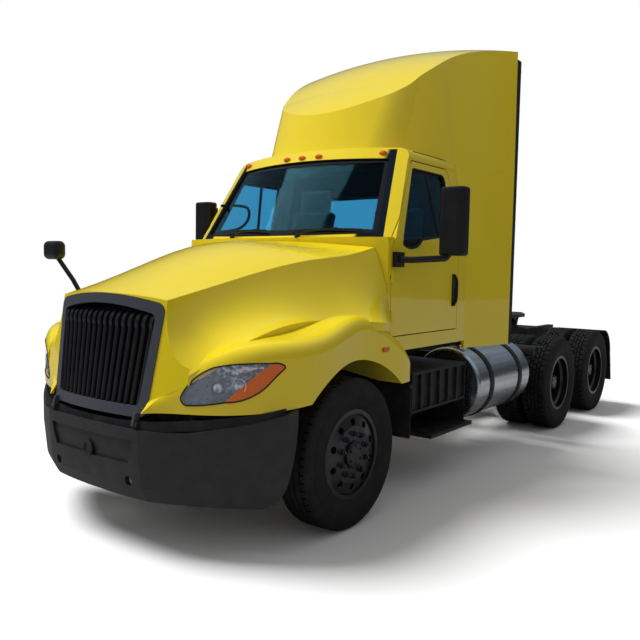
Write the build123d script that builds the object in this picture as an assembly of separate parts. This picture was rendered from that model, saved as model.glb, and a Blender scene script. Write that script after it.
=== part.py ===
from build123d import *
import math
import os

# Semi truck tractor unit, three axles, day cab with a tall roof fairing. Millimetres, +Z up, the truck
# faces -Y and its left side is +X. Every place along Y is measured from the front axle, and the last
# step moves the whole truck so that the origin is under the middle of its box, on the road.

# Chassis
first_drive_axle = 3994
tandem_spacing = 1320
second_drive_axle = first_drive_axle + tandem_spacing
bogie_centre = (first_drive_axle + second_drive_axle) / 2
tyre_radius = 510
tyre_width = 285
tread_shoulder = 24
bead_radius = 286
flange_inner = 107
front_wheel_x = 1040
rear_outer_wheel_x = 1067
dual_spacing = 330
axle_height = tyre_radius
rail_half_width = 432
rail_depth = 270
rail_flange = 80
rail_thickness = 10
rail_top = 1010
rail_front = -900
rail_rear = 5900
engine_front = -640
engine_rear = 380
gearbox_end = 1530
shaft_z = 760
pinion_reach = 290
bowl_radius = 215
radiator_front = -960

# Running gaps
gap = 8
seat_gap = 0.3
pin_gap = 0.6

# Steering and front axle
kingpin_x = 870
kingpin_radius = 24
boss_radius = 55
boss_height = 120
ear_height = 44
spindle_radius = 45
tie_rod_y = 230
tie_pin = 12
tie_rod_x = kingpin_x

# Nose
nose_y = -1224
grille_lean = 8
grille_radius = 2200
grille_bottom = 840
grille_top = 1545
grille_half_bottom = 472
grille_half_top = 529
grille_border = 62
grille_depth = 80
bar_count = 16
bar_width = 30
bar_depth = 55
panel = 25
fender_half = 1190
fender_bottom = 865
fender_edge = 925
arch_radius = 736
arch_y = 15
arch_z = 404
bumper_top = 765
bumper_bottom = 330
bumper_wall = 30
bumper_half = 1200
bumper_joint = 464
hood_hinge_y = nose_y + 24
hood_hinge_z = 802
hood_pin = 11

# Cab
cab_half = 1050
cab_roof_half = 920
cab_floor = 1130
cab_belt = 1940
cab_roof = 2700
cab_rear = 1830
cab_wall = 55
screen_y = 400
screen_foot = 1975
screen_radius = 2100
cowl_radius = 3560
screen_rake = 33
door_sill = 1240
door_front = 600
door_rear = 1680
door_head = 2600
glass = 8

# Door hinges, seats and steering wheel
hinge_x = cab_half + 8
hinge_y = door_front + 4
hinge_pin = 6
hinge_heights = (1340, 1640)
lug_height = 30
seat_x = 480
wheel_centre = (seat_x, 1010, 1860)
wheel_rake = 30

# Fifth wheel
kingpin_y = bogie_centre - 60
plate_top = 1210
plate_thickness = 40
pivot_z = 1120
pivot_pin = 28
kingpin_bore = 25.4
jaw_length = 88

# Fairing and side extenders
fairing_rear = 2450
fairing_crown = 3876
crown_radius = 4800
fairing_seam = 2645
extender_half = 1200
extender_front = cab_rear + seat_gap
extender_bottom = 1065
rubber_depth = 75

# Tanks and boxes
tank_radius = 330
tank_x = 870
tank_z = 720
tank_front = 1870
tank_rear = 3040
box_front = 885
box_rear = 1800
box_top = 950
box_bottom = 400


def outline(rows):
    """A closed face: a row of two numbers is a straight run to that point, and a row of four is an arc
    through its first pair to its second."""
    here = rows[0][-2:]
    edges = []
    for row in rows[1:] + rows[:1]:
        end = row[-2:]
        if len(row) == 4:
            edges.append(ThreePointArc(here, row[:2], end))
        elif math.dist(here, end) > 0.001:
            edges.append(Line(here, end))
        here = end
    return make_face(edges)


def side_prism(rows, x0, x1):
    """The outline is (Y, Z), and it runs from x0 to x1."""
    return Pos(x0, 0, 0) * extrude(Plane.YZ * outline(rows), x1 - x0)


def front_prism(rows, y0, y1):
    """The outline is (X, Z), and it runs from y0 to y1."""
    return Pos(0, y1, 0) * extrude(Plane.XZ * outline(rows), y1 - y0)


def plan_prism(rows, z0, z1):
    """The outline is (X, Y), and it runs from z0 to z1."""
    return Pos(0, 0, z0) * extrude(outline(rows), z1 - z0)


def leaning_prism(rows, z0, z1, lean):
    """The plan outline at z0 is carried up to z1 and back by the lean, in degrees from upright."""
    run = Vector(0, math.sin(math.radians(lean)), math.cos(math.radians(lean)))
    height = z1 - z0
    return Pos(0, 0, z0) * extrude(outline(rows), height / run.Z, dir=run)


def box(x0, x1, y0, y1, z0, z1):
    return Pos((x0 + x1) / 2, (y0 + y1) / 2, (z0 + z1) / 2) * Box(x1 - x0, y1 - y0, z1 - z0)


def rod_x(x0, x1, y, z, radius):
    return Pos((x0 + x1) / 2, y, z) * Rot(0, 90, 0) * Cylinder(radius, x1 - x0)


def rod_y(x, y0, y1, z, radius):
    return Pos(x, (y0 + y1) / 2, z) * Rot(90, 0, 0) * Cylinder(radius, y1 - y0)


def rod_z(x, y, z0, z1, radius):
    return Pos(x, y, (z0 + z1) / 2) * Cylinder(radius, z1 - z0)


def tube(points, radius):
    """A round bar along straight runs with bends as large as the shorter run allows."""
    bend = 0.4 * min(math.dist(a, b) for a, b in zip(points, points[1:]))
    path = FilletPolyline(*points, radius=bend) if len(points) > 2 else Line(*points)
    return sweep(Plane(path @ 0, z_dir=path % 0) * Circle(radius), path=path)


def spin_x(rows, x, y, z):
    """A turned piece: the outline is (distance along the axle outward, radius)."""
    return Pos(x, y, z) * revolve(outline(rows), Axis.X)


def group(pieces):
    return Compound([solid for piece in pieces for solid in piece.solids()])


def other_side(piece):
    return mirror(piece, Plane.YZ)


def both(piece):
    return group([piece, other_side(piece)])


# Frame
def make_rails():
    top, low, outer = rail_top, rail_top - rail_depth, rail_half_width
    inner = outer - rail_flange
    web = outer - rail_thickness
    rail = front_prism(
        [
            (outer, low), (outer, top), (inner, top), (inner, top - rail_thickness),
            (web, top - rail_thickness), (web, low + rail_thickness), (inner, low + rail_thickness), (inner, low),
        ],
        rail_front,
        rail_rear,
    )
    front, rear = rail_front - 1, rail_rear + 1
    nose_taper = side_prism([(front, low - 1), (front, low + 90), (front + 260, low - 1)], 0, 600)
    tail_taper = side_prism([(rear, low - 1), (rear, low + 110), (rear - 240, low - 1)], 0, 600)
    return both(rail - nose_taper - tail_taper)


def make_crossmembers():
    low, top = rail_top - rail_depth, rail_top
    half = rail_half_width - rail_thickness
    channel_depth = 110
    members = []
    # Y of each channel, its height
    for y, height in ((-720, 120), (2100, 200), (3300, 200), (bogie_centre, 200), (rail_rear - 60, 200)):
        z0, z1 = (low + top - height) / 2, (low + top + height) / 2
        body = box(-half, half, y - channel_depth / 2, y + channel_depth / 2, z0, z1)
        slot = box(-half + 12, half - 12, y - channel_depth / 2 + 10, y + channel_depth, z0 + 10, z1 - 10)
        hole = box(-60, 60, y - channel_depth, y + channel_depth, z0 + 50, z1 - 50)
        members.append(body - slot - hole)
    return group(members)


# Front axle, springs and steering
def make_axle_beam():
    z, inner = axle_height, kingpin_x - boss_radius - 30
    deep, half_deep = 105, 45
    beam = front_prism(
        [
            (-kingpin_x, z - half_deep), (-inner, z - half_deep - 10), (-inner + 170, z - 150),
            (inner - 170, z - 150), (inner, z - half_deep - 10), (kingpin_x, z - half_deep),
            (kingpin_x, z + half_deep), (inner, z + half_deep), (inner - 170, z - 150 + deep),
            (-inner + 170, z - 150 + deep), (-inner, z + half_deep), (-kingpin_x, z + half_deep),
        ],
        -55,
        55,
    )
    pocket_rows = [(-inner + 190, z - 125), (inner - 190, z - 125), (inner - 200, z - 70), (-inner + 200, z - 70)]
    beam -= front_prism(pocket_rows, -60, -18) + front_prism(pocket_rows, 18, 60)
    for x in (-kingpin_x, kingpin_x):
        beam += rod_z(x, 0, z - boss_height / 2, z + boss_height / 2, boss_radius)
    for x in (-kingpin_x, kingpin_x):
        beam -= rod_z(x, 0, z - boss_height, z + boss_height, kingpin_radius + pin_gap)
    return beam


def make_front_springs():
    spring_x, half_width = rail_half_width - 40, 50
    seat_z = axle_height - 45 + seat_gap
    low = rail_top - rail_depth
    leaf = side_prism(
        [(-640, 660), (0, seat_z + 10, 640, 660), (640, 700), (0, seat_z + 75, -640, 700)],
        spring_x - half_width,
        spring_x + half_width,
    )
    leaf += box(spring_x - 62, spring_x + 62, -90, 90, seat_z, seat_z + 90)
    for y in (-640, 640):
        eye = rod_x(spring_x - half_width, spring_x + half_width, y, 678, 38)
        hanger = side_prism([(y - 60, low - seat_gap), (y + 60, low - seat_gap), (y + 30, 660), (y - 30, 660)],
                            spring_x - half_width, spring_x + half_width)
        leaf += eye + hanger
    return both(leaf)


def make_knuckle():
    z = axle_height
    half_boss = boss_height / 2 + seat_gap
    plate_x0, plate_x1 = kingpin_x + boss_radius + 12, kingpin_x + boss_radius + 60
    knuckle = box(plate_x0, plate_x1, -60, 60, z - half_boss - ear_height, z + half_boss + ear_height)
    for low in (z + half_boss, z - half_boss - ear_height):
        knuckle += rod_z(kingpin_x, 0, low, low + ear_height, boss_radius)
        knuckle += box(kingpin_x, plate_x0, -boss_radius, boss_radius, low, low + ear_height)
    knuckle += rod_z(kingpin_x, 0, z - half_boss - 5, z + half_boss + 5, kingpin_radius)
    knuckle += rod_x(plate_x1 - 5, front_wheel_x + 60, 0, z, spindle_radius)
    knuckle += rod_x(plate_x1 - 20, plate_x1 + 4, 0, z, 110)
    arm_low = z - half_boss - ear_height
    arm = plan_prism(
        [(kingpin_x - 45, 0), (tie_rod_x - 28, tie_rod_y), (tie_rod_x, tie_rod_y + 32, tie_rod_x + 28, tie_rod_y),
         (kingpin_x + 45, 30), (kingpin_x + 45, 0)],
        arm_low,
        arm_low + 34,
    )
    knuckle += arm
    knuckle += rod_z(tie_rod_x, tie_rod_y, arm_low - 44, arm_low + 2, tie_pin)
    return knuckle


def make_tie_rod():
    z = axle_height - boss_height / 2 - seat_gap - ear_height - 24
    rod = rod_x(-tie_rod_x, tie_rod_x, tie_rod_y, z, 19)
    for x in (-tie_rod_x, tie_rod_x):
        rod += rod_z(x, tie_rod_y, z - 22, z + 22, 30)
    for x in (-tie_rod_x, tie_rod_x):
        rod -= rod_z(x, tie_rod_y, z - 40, z + 40, tie_pin + pin_gap)
    return rod


# Wheels and tyres: rows are (distance outward from the wheel's middle plane, radius)
def make_tyre(x, y):
    half, r, bead = tyre_width / 2, tyre_radius, bead_radius
    grooves = []
    groove_half, groove_depth = 6, 14
    for place in (-75, -25, 25, 75):
        grooves += [(place - groove_half, r), (place - groove_half, r - groove_depth),
                    (place + groove_half, r - groove_depth), (place + groove_half, r)]
    seat = flange_inner - seat_gap
    rows = [(-seat, bead), (-seat, bead + 18), (-half, (r + bead) / 2, -half + tread_shoulder, r - 20),
            (-half + tread_shoulder + 22, r)]
    rows += grooves
    rows += [(half - tread_shoulder - 22, r), (half - tread_shoulder, r - 20),
             (half, (r + bead) / 2, seat, bead + 18), (seat, bead)]
    return spin_x(rows, x, y, axle_height)


def rim_rows():
    """A drop-centre rim: its two bead seats lie between flanges, with the well between them."""
    r, seat, flange = bead_radius - seat_gap, flange_inner, flange_inner + 11
    return [
        (-seat, r), (-seat, r + 16), (-flange, r + 16), (-flange, r - 14), (-60, r - 14), (-40, r - 34), (40, r - 34),
        (60, r - 14), (flange, r - 14), (flange, r + 16), (seat, r + 16), (seat, r), (50, r), (30, r - 20),
        (-30, r - 20), (-50, r),
    ]


def hand_hole(x, y, turn, radius, depth):
    """One of ten round openings through a wheel's disc, midway along x."""
    place = Pos(x, y, axle_height) * Rot(turn * 36, 0, 0) * Pos(0, 0, bead_radius - 66)
    return place * Rot(0, 90, 0) * Cylinder(radius, depth)


def make_front_wheel():
    """Rim, convex disc with hand holes, and the hub with its drum."""
    r = bead_radius - seat_gap
    wheel = spin_x(rim_rows(), front_wheel_x, 0, axle_height)
    disc = [(88, r - 13), (103, r - 13), (118, 205), (122, 190), (122, 90), (104, 90), (104, 186), (98, 205)]
    wheel += spin_x(disc, front_wheel_x, 0, axle_height)
    for turn in range(10):
        wheel -= hand_hole(front_wheel_x + 105, 0, turn, 24, 80)
    hub_bore = spindle_radius + pin_gap
    hub = [
        (-42, hub_bore), (-42, 205), (70, 205), (70, 172), (104, 172), (104, 92), (138, 92), (146, 76), (146, 1),
        (64, 1), (64, hub_bore),
    ]
    return wheel + spin_x(hub, front_wheel_x, 0, axle_height)


def make_rear_wheels(y):
    """Two rims back to back, their discs bolted together on one hub."""
    r = bead_radius - seat_gap
    outer_x, inner_x = rear_outer_wheel_x, rear_outer_wheel_x - dual_spacing
    middle = (outer_x + inner_x) / 2
    wheels = spin_x(rim_rows(), outer_x, y, axle_height) + spin_x(rim_rows(), inner_x, y, axle_height)
    reach = dual_spacing / 2
    for side in (-1, 1):
        disc = [(side * 2, 80), (side * 2, 180), (side * (reach - 112), r - 10), (side * (reach - 96), r - 10),
                (side * (reach - 96), r - 32), (side * 16, 168), (side * 16, 80)]
        wheels += spin_x(disc, middle, y, axle_height)
    for turn in range(10):
        wheels -= hand_hole(middle, y, turn, 22, 150)
    bore = spindle_radius + 22 + pin_gap
    hub = [(-100, bore), (-100, 150), (10, 150), (10, 100), (190, 88), (225, 70), (225, 1), (150, 1), (150, bore)]
    return wheels + spin_x(hub, middle, y, axle_height)


def make_drive_axles():
    middle = rear_outer_wheel_x - dual_spacing / 2
    axles = []
    for y in (first_drive_axle, second_drive_axle):
        housing = rod_x(-middle - 130, middle + 130, y, axle_height, spindle_radius + 22)
        housing += box(-560, 560, y - 70, y + 70, axle_height - 70, axle_height + 70)
        bowl = spin_x([(-150, 0), (-110, 170), (0, bowl_radius, 110, 170), (150, 0)], 0, y, axle_height)
        nose = Pos(0, y - pinion_reach + 100, axle_height + 40) * Rot(90, 0, 0) * Cone(90, 120, 200)
        axles.append(housing + bowl + nose)
    return group(axles)


def make_suspension_arms():
    """Trailing arms from hangers on the rails to under each drive axle, and on to the air springs."""
    arms = []
    arm_x = rail_half_width - 45
    low = rail_top - rail_depth
    for y in (first_drive_axle, second_drive_axle):
        under = axle_height - 70 - seat_gap
        arm = side_prism(
            [
                (y - 560, 560), (y - 440, 560), (y - 120, under), (y + 430, under), (y + 430, under - 45),
                (y - 140, under - 60), (y - 560, 500),
            ],
            arm_x - 45,
            arm_x + 45,
        )
        foot = low - seat_gap
        hanger_rows = [(y - 590, 520), (y - 430, 520), (y - 400, foot), (y - 620, foot)]
        hanger = side_prism(hanger_rows, arm_x - 45, arm_x + 45)
        arms.append(arm + hanger)
        arms.append(other_side(arm + hanger))
    return group(arms)


def make_air_springs():
    springs = []
    spring_x, radius = rail_half_width - 40, 125
    low = rail_top - rail_depth
    base = axle_height - 70
    for y in (first_drive_axle, second_drive_axle):
        rows = [
            (0, base), (80, base), (80, base + 90), (radius - 20, base + 110),
            (radius, base + 150, radius - 20, base + 190), (radius - 12, base + 205),
            (radius, base + 235, radius - 25, low - 14), (radius - 25, low - seat_gap), (0, low - seat_gap),
        ]
        spring = revolve(Plane.XZ * outline(rows), Axis.Z)
        spring = Pos(spring_x, y + 300, 0) * spring
        springs += [spring, other_side(spring)]
    return group(springs)


def make_driveshafts():
    """Gearbox to the first drive axle, and on from there to the second, each with its end flanges."""
    pinion_z = axle_height + 40
    start = gearbox_end + seat_gap
    first_end = first_drive_axle - pinion_reach - seat_gap
    second_end = second_drive_axle - pinion_reach - seat_gap
    first = tube([(0, start + 12, shaft_z), (0, first_end - 12, pinion_z)], 50)
    first += rod_y(0, start, start + 22, shaft_z, 75) + rod_y(0, first_end - 22, first_end, pinion_z, 75)
    between = rod_y(0, first_drive_axle + bowl_radius + seat_gap, second_end, pinion_z, 45)
    return group([first, between])


def make_engine():
    """Engine and gearbox as one plain block at their real place and size."""
    engine = box(-330, 330, engine_front, engine_rear, 560, 1480)
    length = gearbox_end - engine_rear
    gearbox = Pos(0, engine_rear + length / 2, shaft_z) * Rot(-90, 0, 0) * Cone(290, 150, length)
    web = rail_half_width - rail_thickness - seat_gap
    for y in (-400, 200):
        engine += box(-web, web, y - 60, y + 60, 800, 880)
    return engine + gearbox


def make_radiator():
    """Core with end tanks, standing on the rails with its lower part between them."""
    front, back = radiator_front, radiator_front + 130
    foot = rail_top + seat_gap
    inner = rail_half_width - rail_flange - gap
    core = box(-rail_half_width + 2, rail_half_width - 2, front, back, foot, 1400)
    core += box(-inner, inner, front, back, rail_top - rail_depth + 20, foot)
    core += box(-rail_half_width, rail_half_width, front + 15, back - 15, 1360, 1430)
    for x in range(-360, 361, 80):
        core -= box(x - 30, x + 30, front - 1, front + 12, foot + 60, 1350)
    return core


# Nose
def nose_band(front, back):
    """Plan of the grille between two distances behind its curved front face."""
    half = grille_half_top + 200
    drop = grille_radius - math.sqrt(grille_radius**2 - half**2)
    return [
        (-half, nose_y + drop + front), (0, nose_y + front, half, nose_y + drop + front),
        (half, nose_y + drop + back), (0, nose_y + back, -half, nose_y + drop + back),
    ]


def grille_outline(inset):
    """Front view of the grille, wider at the top, with round corners."""
    low, top = grille_bottom + inset, grille_top - inset
    bottom, upper, round_off = grille_half_bottom - inset, grille_half_top - inset, 60
    face = outline([(-bottom, low), (bottom, low), (upper, top - 35), (0, top + 20, -upper, top - 35)])
    return fillet(face.vertices(), round_off - 0.35 * inset)


def grille_prism(inset, y0, y1):
    return Pos(0, y1, 0) * extrude(Plane.XZ * grille_outline(inset), y1 - y0)


def grille_slab(front, back):
    return leaning_prism(nose_band(front, back), grille_bottom - 60, grille_top + 80, grille_lean)


def make_grille_frame():
    ring = grille_prism(0, nose_y - 100, nose_y + 400) - grille_prism(grille_border, nose_y - 200, nose_y + 500)
    return ring & grille_slab(0, grille_depth)


def make_grille_bars():
    """Upright bars with a round front, fanned with the frame's sides and bent back at their tops,
    on two rails behind them."""
    low, top = grille_bottom + grille_border, grille_top - grille_border - 20
    slope = math.tan(math.radians(grille_lean))
    span_low = grille_half_bottom - grille_border - 24
    span_top = grille_half_top - grille_border - 24
    height = top - low
    start, bend = 14, 90
    bars = None
    for i in range(bar_count):
        share = 2 * i / (bar_count - 1) - 1
        sag = grille_radius - math.sqrt(grille_radius**2 - (share * span_low) ** 2)
        front = nose_y + start + sag + slope * (low - grille_bottom + 60)
        crown = front + slope * height
        rows = [
            (front, low - 4), (crown - slope * bend, top - bend), (crown, top - bend / 3, crown + bend / 2, top + 3),
            (crown + bend / 2 + 24, top + 3), (crown + bar_depth - slope * bend, top - bend - 20),
            (front + bar_depth, low - 4),
        ]
        bar = side_prism(rows, -bar_width / 2, bar_width / 2)
        long_edges = [edge for edge in bar.edges() if edge.length > height / 2]
        nose_edges = [edge for edge in long_edges if edge.center().Y < front + 0.6 * slope * height + 8]
        bar = fillet(nose_edges, 0.42 * bar_width)
        fan = math.degrees(math.atan((span_top - span_low) * share / height))
        bar = Pos(share * span_low, 0, low) * Rot(0, fan, 0) * Pos(0, 0, -low) * bar
        bars = bar if bars is None else bars + bar
    rails = None
    for z in (low + 150, top - 190):
        back = bar_depth - 12
        rail = grille_slab(start + back, start + back + 16) & box(-600, 600, -2000, 0, z, z + 36)
        rail &= grille_prism(grille_border + 1, nose_y - 200, nose_y + 500)
        rails = rail if rails is None else rails + rail
    keep = grille_prism(grille_border + seat_gap, nose_y - 200, nose_y + 500)
    return (bars + rails) & keep


# Hood sections: Y, crown height, ridge X and Z, waist X and Z, foot X and Z
hood_sections = (
    (-1300, 1470, 490, 1430, 470, 1120, 420, 860),
    (-1190, 1532, 513, 1488, 505, 1190, 505, 945),
    (-1050, 1590, 531, 1535, 590, 1300, 745, 1120),
    (-510, 1790, 610, 1672, 735, 1480, 960, 1375),
    (0, 1930, 770, 1795, 880, 1560, 1030, 1395),
    (570, 1990, 960, 1915, 1035, 1650, 1075, 1350),
)


def hood_loft(inset, below):
    """The hood's solid: crowned top, ridge, hollow side and a short upright foot."""
    faces = []
    for y, crown, ridge_x, ridge_z, waist_x, waist_z, foot_x, foot_z in hood_sections:
        t = inset
        low = foot_z - 60 - below
        rows = [
            (-foot_x + t, foot_z - t), (-waist_x + t, waist_z - 0.6 * t, -ridge_x + t, ridge_z - t),
            (0, crown - t, ridge_x - t, ridge_z - t), (waist_x - t, waist_z - 0.6 * t, foot_x - t, foot_z - t),
            (foot_x - t, low), (-foot_x + t, low),
        ]
        faces.append(Pos(0, y, 0) * (Plane.XZ * outline(rows)))
    return loft(faces)


def screen_plan(back_by, rear, radius=screen_radius, half=1400):
    """Plan of all that lies behind the curved foot of the windscreen, or of the cowl."""
    drop = radius - math.sqrt(radius**2 - half**2)
    y = screen_y + back_by
    return [(-half, y + drop), (0, y, half, y + drop), (half, rear), (-half, rear)]


# Left fender sections: Y, side X, height where the side turns in, how far it turns, inboard height
fender_sections = (
    (-1195, 480, 890, 50, 950),
    (-1030, 800, 1075, 70, 1155),
    (-905, 1005, 1180, 85, 1275),
    (-700, 1155, 1215, 95, 1360),
    (-150, fender_half, 1290, 95, 1440),
    (400, fender_half, 1240, 95, 1365),
    (720, 1150, 1040, 95, 1150),
)


def fender_loft(inset):
    """The fender's solid down to its lower edge: upright side, soft shoulder, crowned top."""
    t = inset
    inboard, low = 300, fender_bottom - 200
    faces = []
    for y, side, turn, shoulder, crown in fender_sections:
        rows = [
            (inboard, low), (side - t, low), (side - t, turn - t),
            (side - t - 0.3 * shoulder, turn + 0.7 * shoulder - t, side - t - shoulder, turn + shoulder - t),
            (inboard, crown - t),
        ]
        faces.append(Pos(0, y, 0) * (Plane.XZ * outline(rows)))
    return loft(faces)


def lamp_prism(inset):
    """Front view of the headlamp: a leaf shape that rises toward the side."""
    face = outline([
        (686, 988), (692, 952, 717, 935), (817, 944, 930, 966), (1051, 1003, 1110, 1072), (1156, 1160),
        (1148, 1184, 1116, 1191), (990, 1188, 867, 1164), (765, 1098, 686, 988),
    ])
    if inset:
        face = offset(face, -inset)
    return Pos(0, -520, 0) * extrude(Plane.XZ * face, 900)


def make_fender(hood_outer):
    """The left fender's shell with its arch liner, and the headlamp flush in it. Nothing of it lies
    under the cab or beside the door's hinges, where it would rise into them as the hood tilts."""
    outer = fender_loft(0)
    liner = rod_x(500, fender_half - panel, arch_y, arch_z, arch_radius + 18) & outer
    skin = outer - fender_loft(panel)
    truck["headlamps"] = both((skin & lamp_prism(seat_gap)) - hood_outer)
    half_arch = math.sqrt(arch_radius**2 - (fender_edge - arch_z) ** 2)
    below = side_prism(
        [
            (-1400, 300), (1000, 300), (1000, fender_edge), (arch_y + half_arch, fender_edge),
            (arch_y, arch_z + arch_radius, arch_y - half_arch, fender_edge), (-1400, fender_edge - 67),
        ],
        0,
        1400,
    )
    under_cab = plan_prism(screen_plan(-gap, 3000, cowl_radius, cab_half + gap), 300, 2400)
    beside_hinge = box(0, hinge_x + 13 + gap, door_front - 50, 3000, 300, 2400)
    shell = skin - lamp_prism(0) + liner - below - hood_outer
    shell -= grille_prism(-seat_gap, nose_y - 300, nose_y + 300)
    return shell - under_cab - beside_hinge


truck = {}


def build_nose():
    outer = hood_loft(0, 0)
    front_wall = outer & leaning_prism(nose_band(6, 6 + panel), grille_bottom - 60, 2200, grille_lean)
    shell = outer - hood_loft(panel, 700) + front_wall
    shell -= plan_prism(screen_plan(-gap, 3000, cowl_radius), 300, 2400)
    shell -= leaning_prism(nose_band(-900, 6), grille_bottom - 60, 2200, grille_lean)
    shell -= grille_prism(-seat_gap, nose_y - 300, nose_y + 300)
    truck["hood"] = shell
    truck["front_fenders"] = both(make_fender(outer))
    truck["grille_frame"] = make_grille_frame()
    truck["grille_bars"] = make_grille_bars()


# Bumper
def bumper_plan(inset, rear=-560):
    t = inset
    return [
        (0, rear), (0, nose_y - 16 + t), (240, nose_y - 12 + t, bumper_joint, nose_y + 11 + t),
        (800, -1056 + 0.9 * t, 1130 - 0.8 * t, -822 + 0.5 * t), (1182 - t, -765 + 0.3 * t, bumper_half - t, -690),
        (bumper_half - t, rear),
    ]


def build_front_brackets(behind_bumper):
    """Outside each rail: an arm forward to the hood's hinge pin, and a plate that carries the bumper."""
    x0 = rail_half_width + seat_gap
    x1 = x0 + 18
    y, z = hood_hinge_y, hood_hinge_z
    arm_rows = [
        (y - 4, z - 16), (y - 14, z, y, z + 16), (y + 90, z + 24), (y + 230, 900), (-760, 900), (-760, 800), (-1000, 790),
    ]
    arm = side_prism(arm_rows, x0, x1)
    pin = rod_x(x0 - 30, x1, y, z, hood_pin)
    plate = side_prism([(-1300, 450), (-1300, 690), (-1100, 740), (-800, 860), (-800, 760), (-1050, 480)], x0, x1)
    pad = box(x0 - 60, x1, -1300, -1120, 450, 690)
    truck["frame_brackets"] = group([truck["frame_brackets"], both(arm + pin + ((plate + pad) & behind_bumper))])
    ear_top = grille_bottom + 30
    ear = side_prism([(y - 18, z), (y, z - 18, y + 18, z), (y + 40, ear_top), (y, ear_top)], x0 - 24, x0 - 6)
    ear = ear + other_side(ear) - rod_x(-600, 600, y, z, hood_pin + 0.5)
    truck["grille_frame"] = truck["grille_frame"] + ear


def make_bumper():
    """A bumper in three pieces: its lower edge tucks back, and its ends rise toward the wheel arches."""
    def half_shape(inset):
        sections = []
        # Height and how far back the face is there
        for z, tuck in ((bumper_top + 160, 0), (640, 0), (420, 24), (bumper_bottom - 30, 90)):
            rows = []
            for row in bumper_plan(inset):
                rows.append(tuple(v + tuck if i % 2 and v < -600 else v for i, v in enumerate(row)))
            sections.append(Pos(0, 0, z) * outline(rows))
        return loft(sections, ruled=True)

    shell = half_shape(0) - half_shape(bumper_wall)
    keep = side_prism(
        [(-1400, bumper_bottom), (-790, bumper_bottom), (-700, 500, -625, bumper_top + 145), (-800, bumper_top + 105),
         (-1080, bumper_top + 12), (-1400, bumper_top)],
        -10,
        1400,
    )
    shell &= keep
    center = shell & box(-1, bumper_joint, -1500, 0, 0, 1200)
    recess = front_prism([(-1, 706), (-1, 561), (373, 561), (423, 706)], -1400, -900)
    center -= recess - half_shape(18)
    center -= rod_y(366, -1400, -1000, 454, 30)
    end = shell & box(bumper_joint + 2 * seat_gap, 1400, -1500, 0, 0, 1200)
    truck["bumper_center"] = center + other_side(center)
    truck["bumper_ends"] = both(end)
    build_front_brackets(half_shape(bumper_wall + seat_gap))


# Cab
def cab_solid(t):
    """The cab's closed form, t inside its outer faces. The glass leans back above the cowl."""
    side, roof_side, roof = cab_half - t, cab_roof_half - t, cab_roof - t
    section = [
        (side, cab_floor + t), (side, cab_belt - 60), (side - 2, cab_belt, side - 14, cab_belt + 60),
        (roof_side, roof - 105), (roof_side - 28, roof - 28, roof_side - 105, roof),
        (0, roof + 18, 105 - roof_side, roof), (28 - roof_side, roof - 28, -roof_side, roof - 105),
        (14 - side, cab_belt + 60), (2 - side, cab_belt, -side, cab_belt - 60), (-side, cab_floor + t),
    ]
    body = front_prism(section, 200, cab_rear - t)
    back_by = t / math.cos(math.radians(screen_rake))
    above = leaning_prism(screen_plan(back_by, 3600), screen_foot, cab_roof + 200, screen_rake)
    below = plan_prism(screen_plan(t, 3600, cowl_radius), cab_floor - 100, screen_foot)
    return body & (above + below)


def door_outline(inset):
    t = inset
    return [
        (door_front + t, door_sill + t), (door_front + t, 1890 - 0.3 * t), (1040 + t, 2555),
        (1065 + t, 2595 - t, 1110 + t, door_head - t), (1590 - t, door_head - t),
        (1665 - t, 2578 - t, door_rear - t, 2510 - t), (door_rear - t, door_sill + t),
    ]


def door_window(inset):
    t = inset
    return [
        (765 + t, 1930 + t), (950, 1912 + t, 1060, 1972 + t), (1400, 2012 + t), (1600 - t, 2020 + t),
        (1600 - t, 2480), (1585 - t, 2525 - t, 1540, 2540 - t), (1090 + t, 2540 - t), (1066 + t, 2530 - t, 1052 + t, 2505),
    ]


def screen_opening(inset):
    t = inset
    foot, head = screen_foot + 22 + t, 2612 - t
    return [
        (-905 + t, foot + 10), (0, foot - 10, 905 - t, foot + 10), (790 - t, head - 30),
        (775 - t, head - 8, 740, head), (0, head + 14, -740, head), (-775 + t, head - 8, -790 + t, head - 30),
    ]


def rear_opening(inset):
    t = inset
    return [(-520 + t, 1930 + t), (520 - t, 1930 + t), (520 - t, 2420 - t), (-520 + t, 2420 - t)]


def hinge_lugs(clear):
    """What the cab holds of each hinge: two lugs with the pin through them."""
    lugs = None
    for z in hinge_heights:
        for low in (z, z + 2 * lug_height + 2 * seat_gap):
            lug = rod_z(hinge_x, hinge_y, low - clear, low + lug_height + clear, 13 + clear)
            lug += box(hinge_x - 30, hinge_x + clear, hinge_y - 30, hinge_y, low - clear, low + lug_height + clear)
            lugs = lug if lugs is None else lugs + lug
        lugs += rod_z(hinge_x, hinge_y, z + 5, z + 3 * lug_height - 5, hinge_pin)
    return lugs


def hinge_knuckles(clear):
    """What the door holds of each hinge, between the cab's lugs."""
    knuckles = None
    for z in hinge_heights:
        low = z + lug_height + seat_gap
        knuckle = rod_z(hinge_x, hinge_y, low - clear, low + lug_height + clear, 13 + clear)
        knuckle += box(hinge_x - 30, hinge_x + clear, hinge_y, hinge_y + 30, low - clear, low + lug_height + clear)
        knuckles = knuckle if knuckles is None else knuckles + knuckle
    return knuckles


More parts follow.
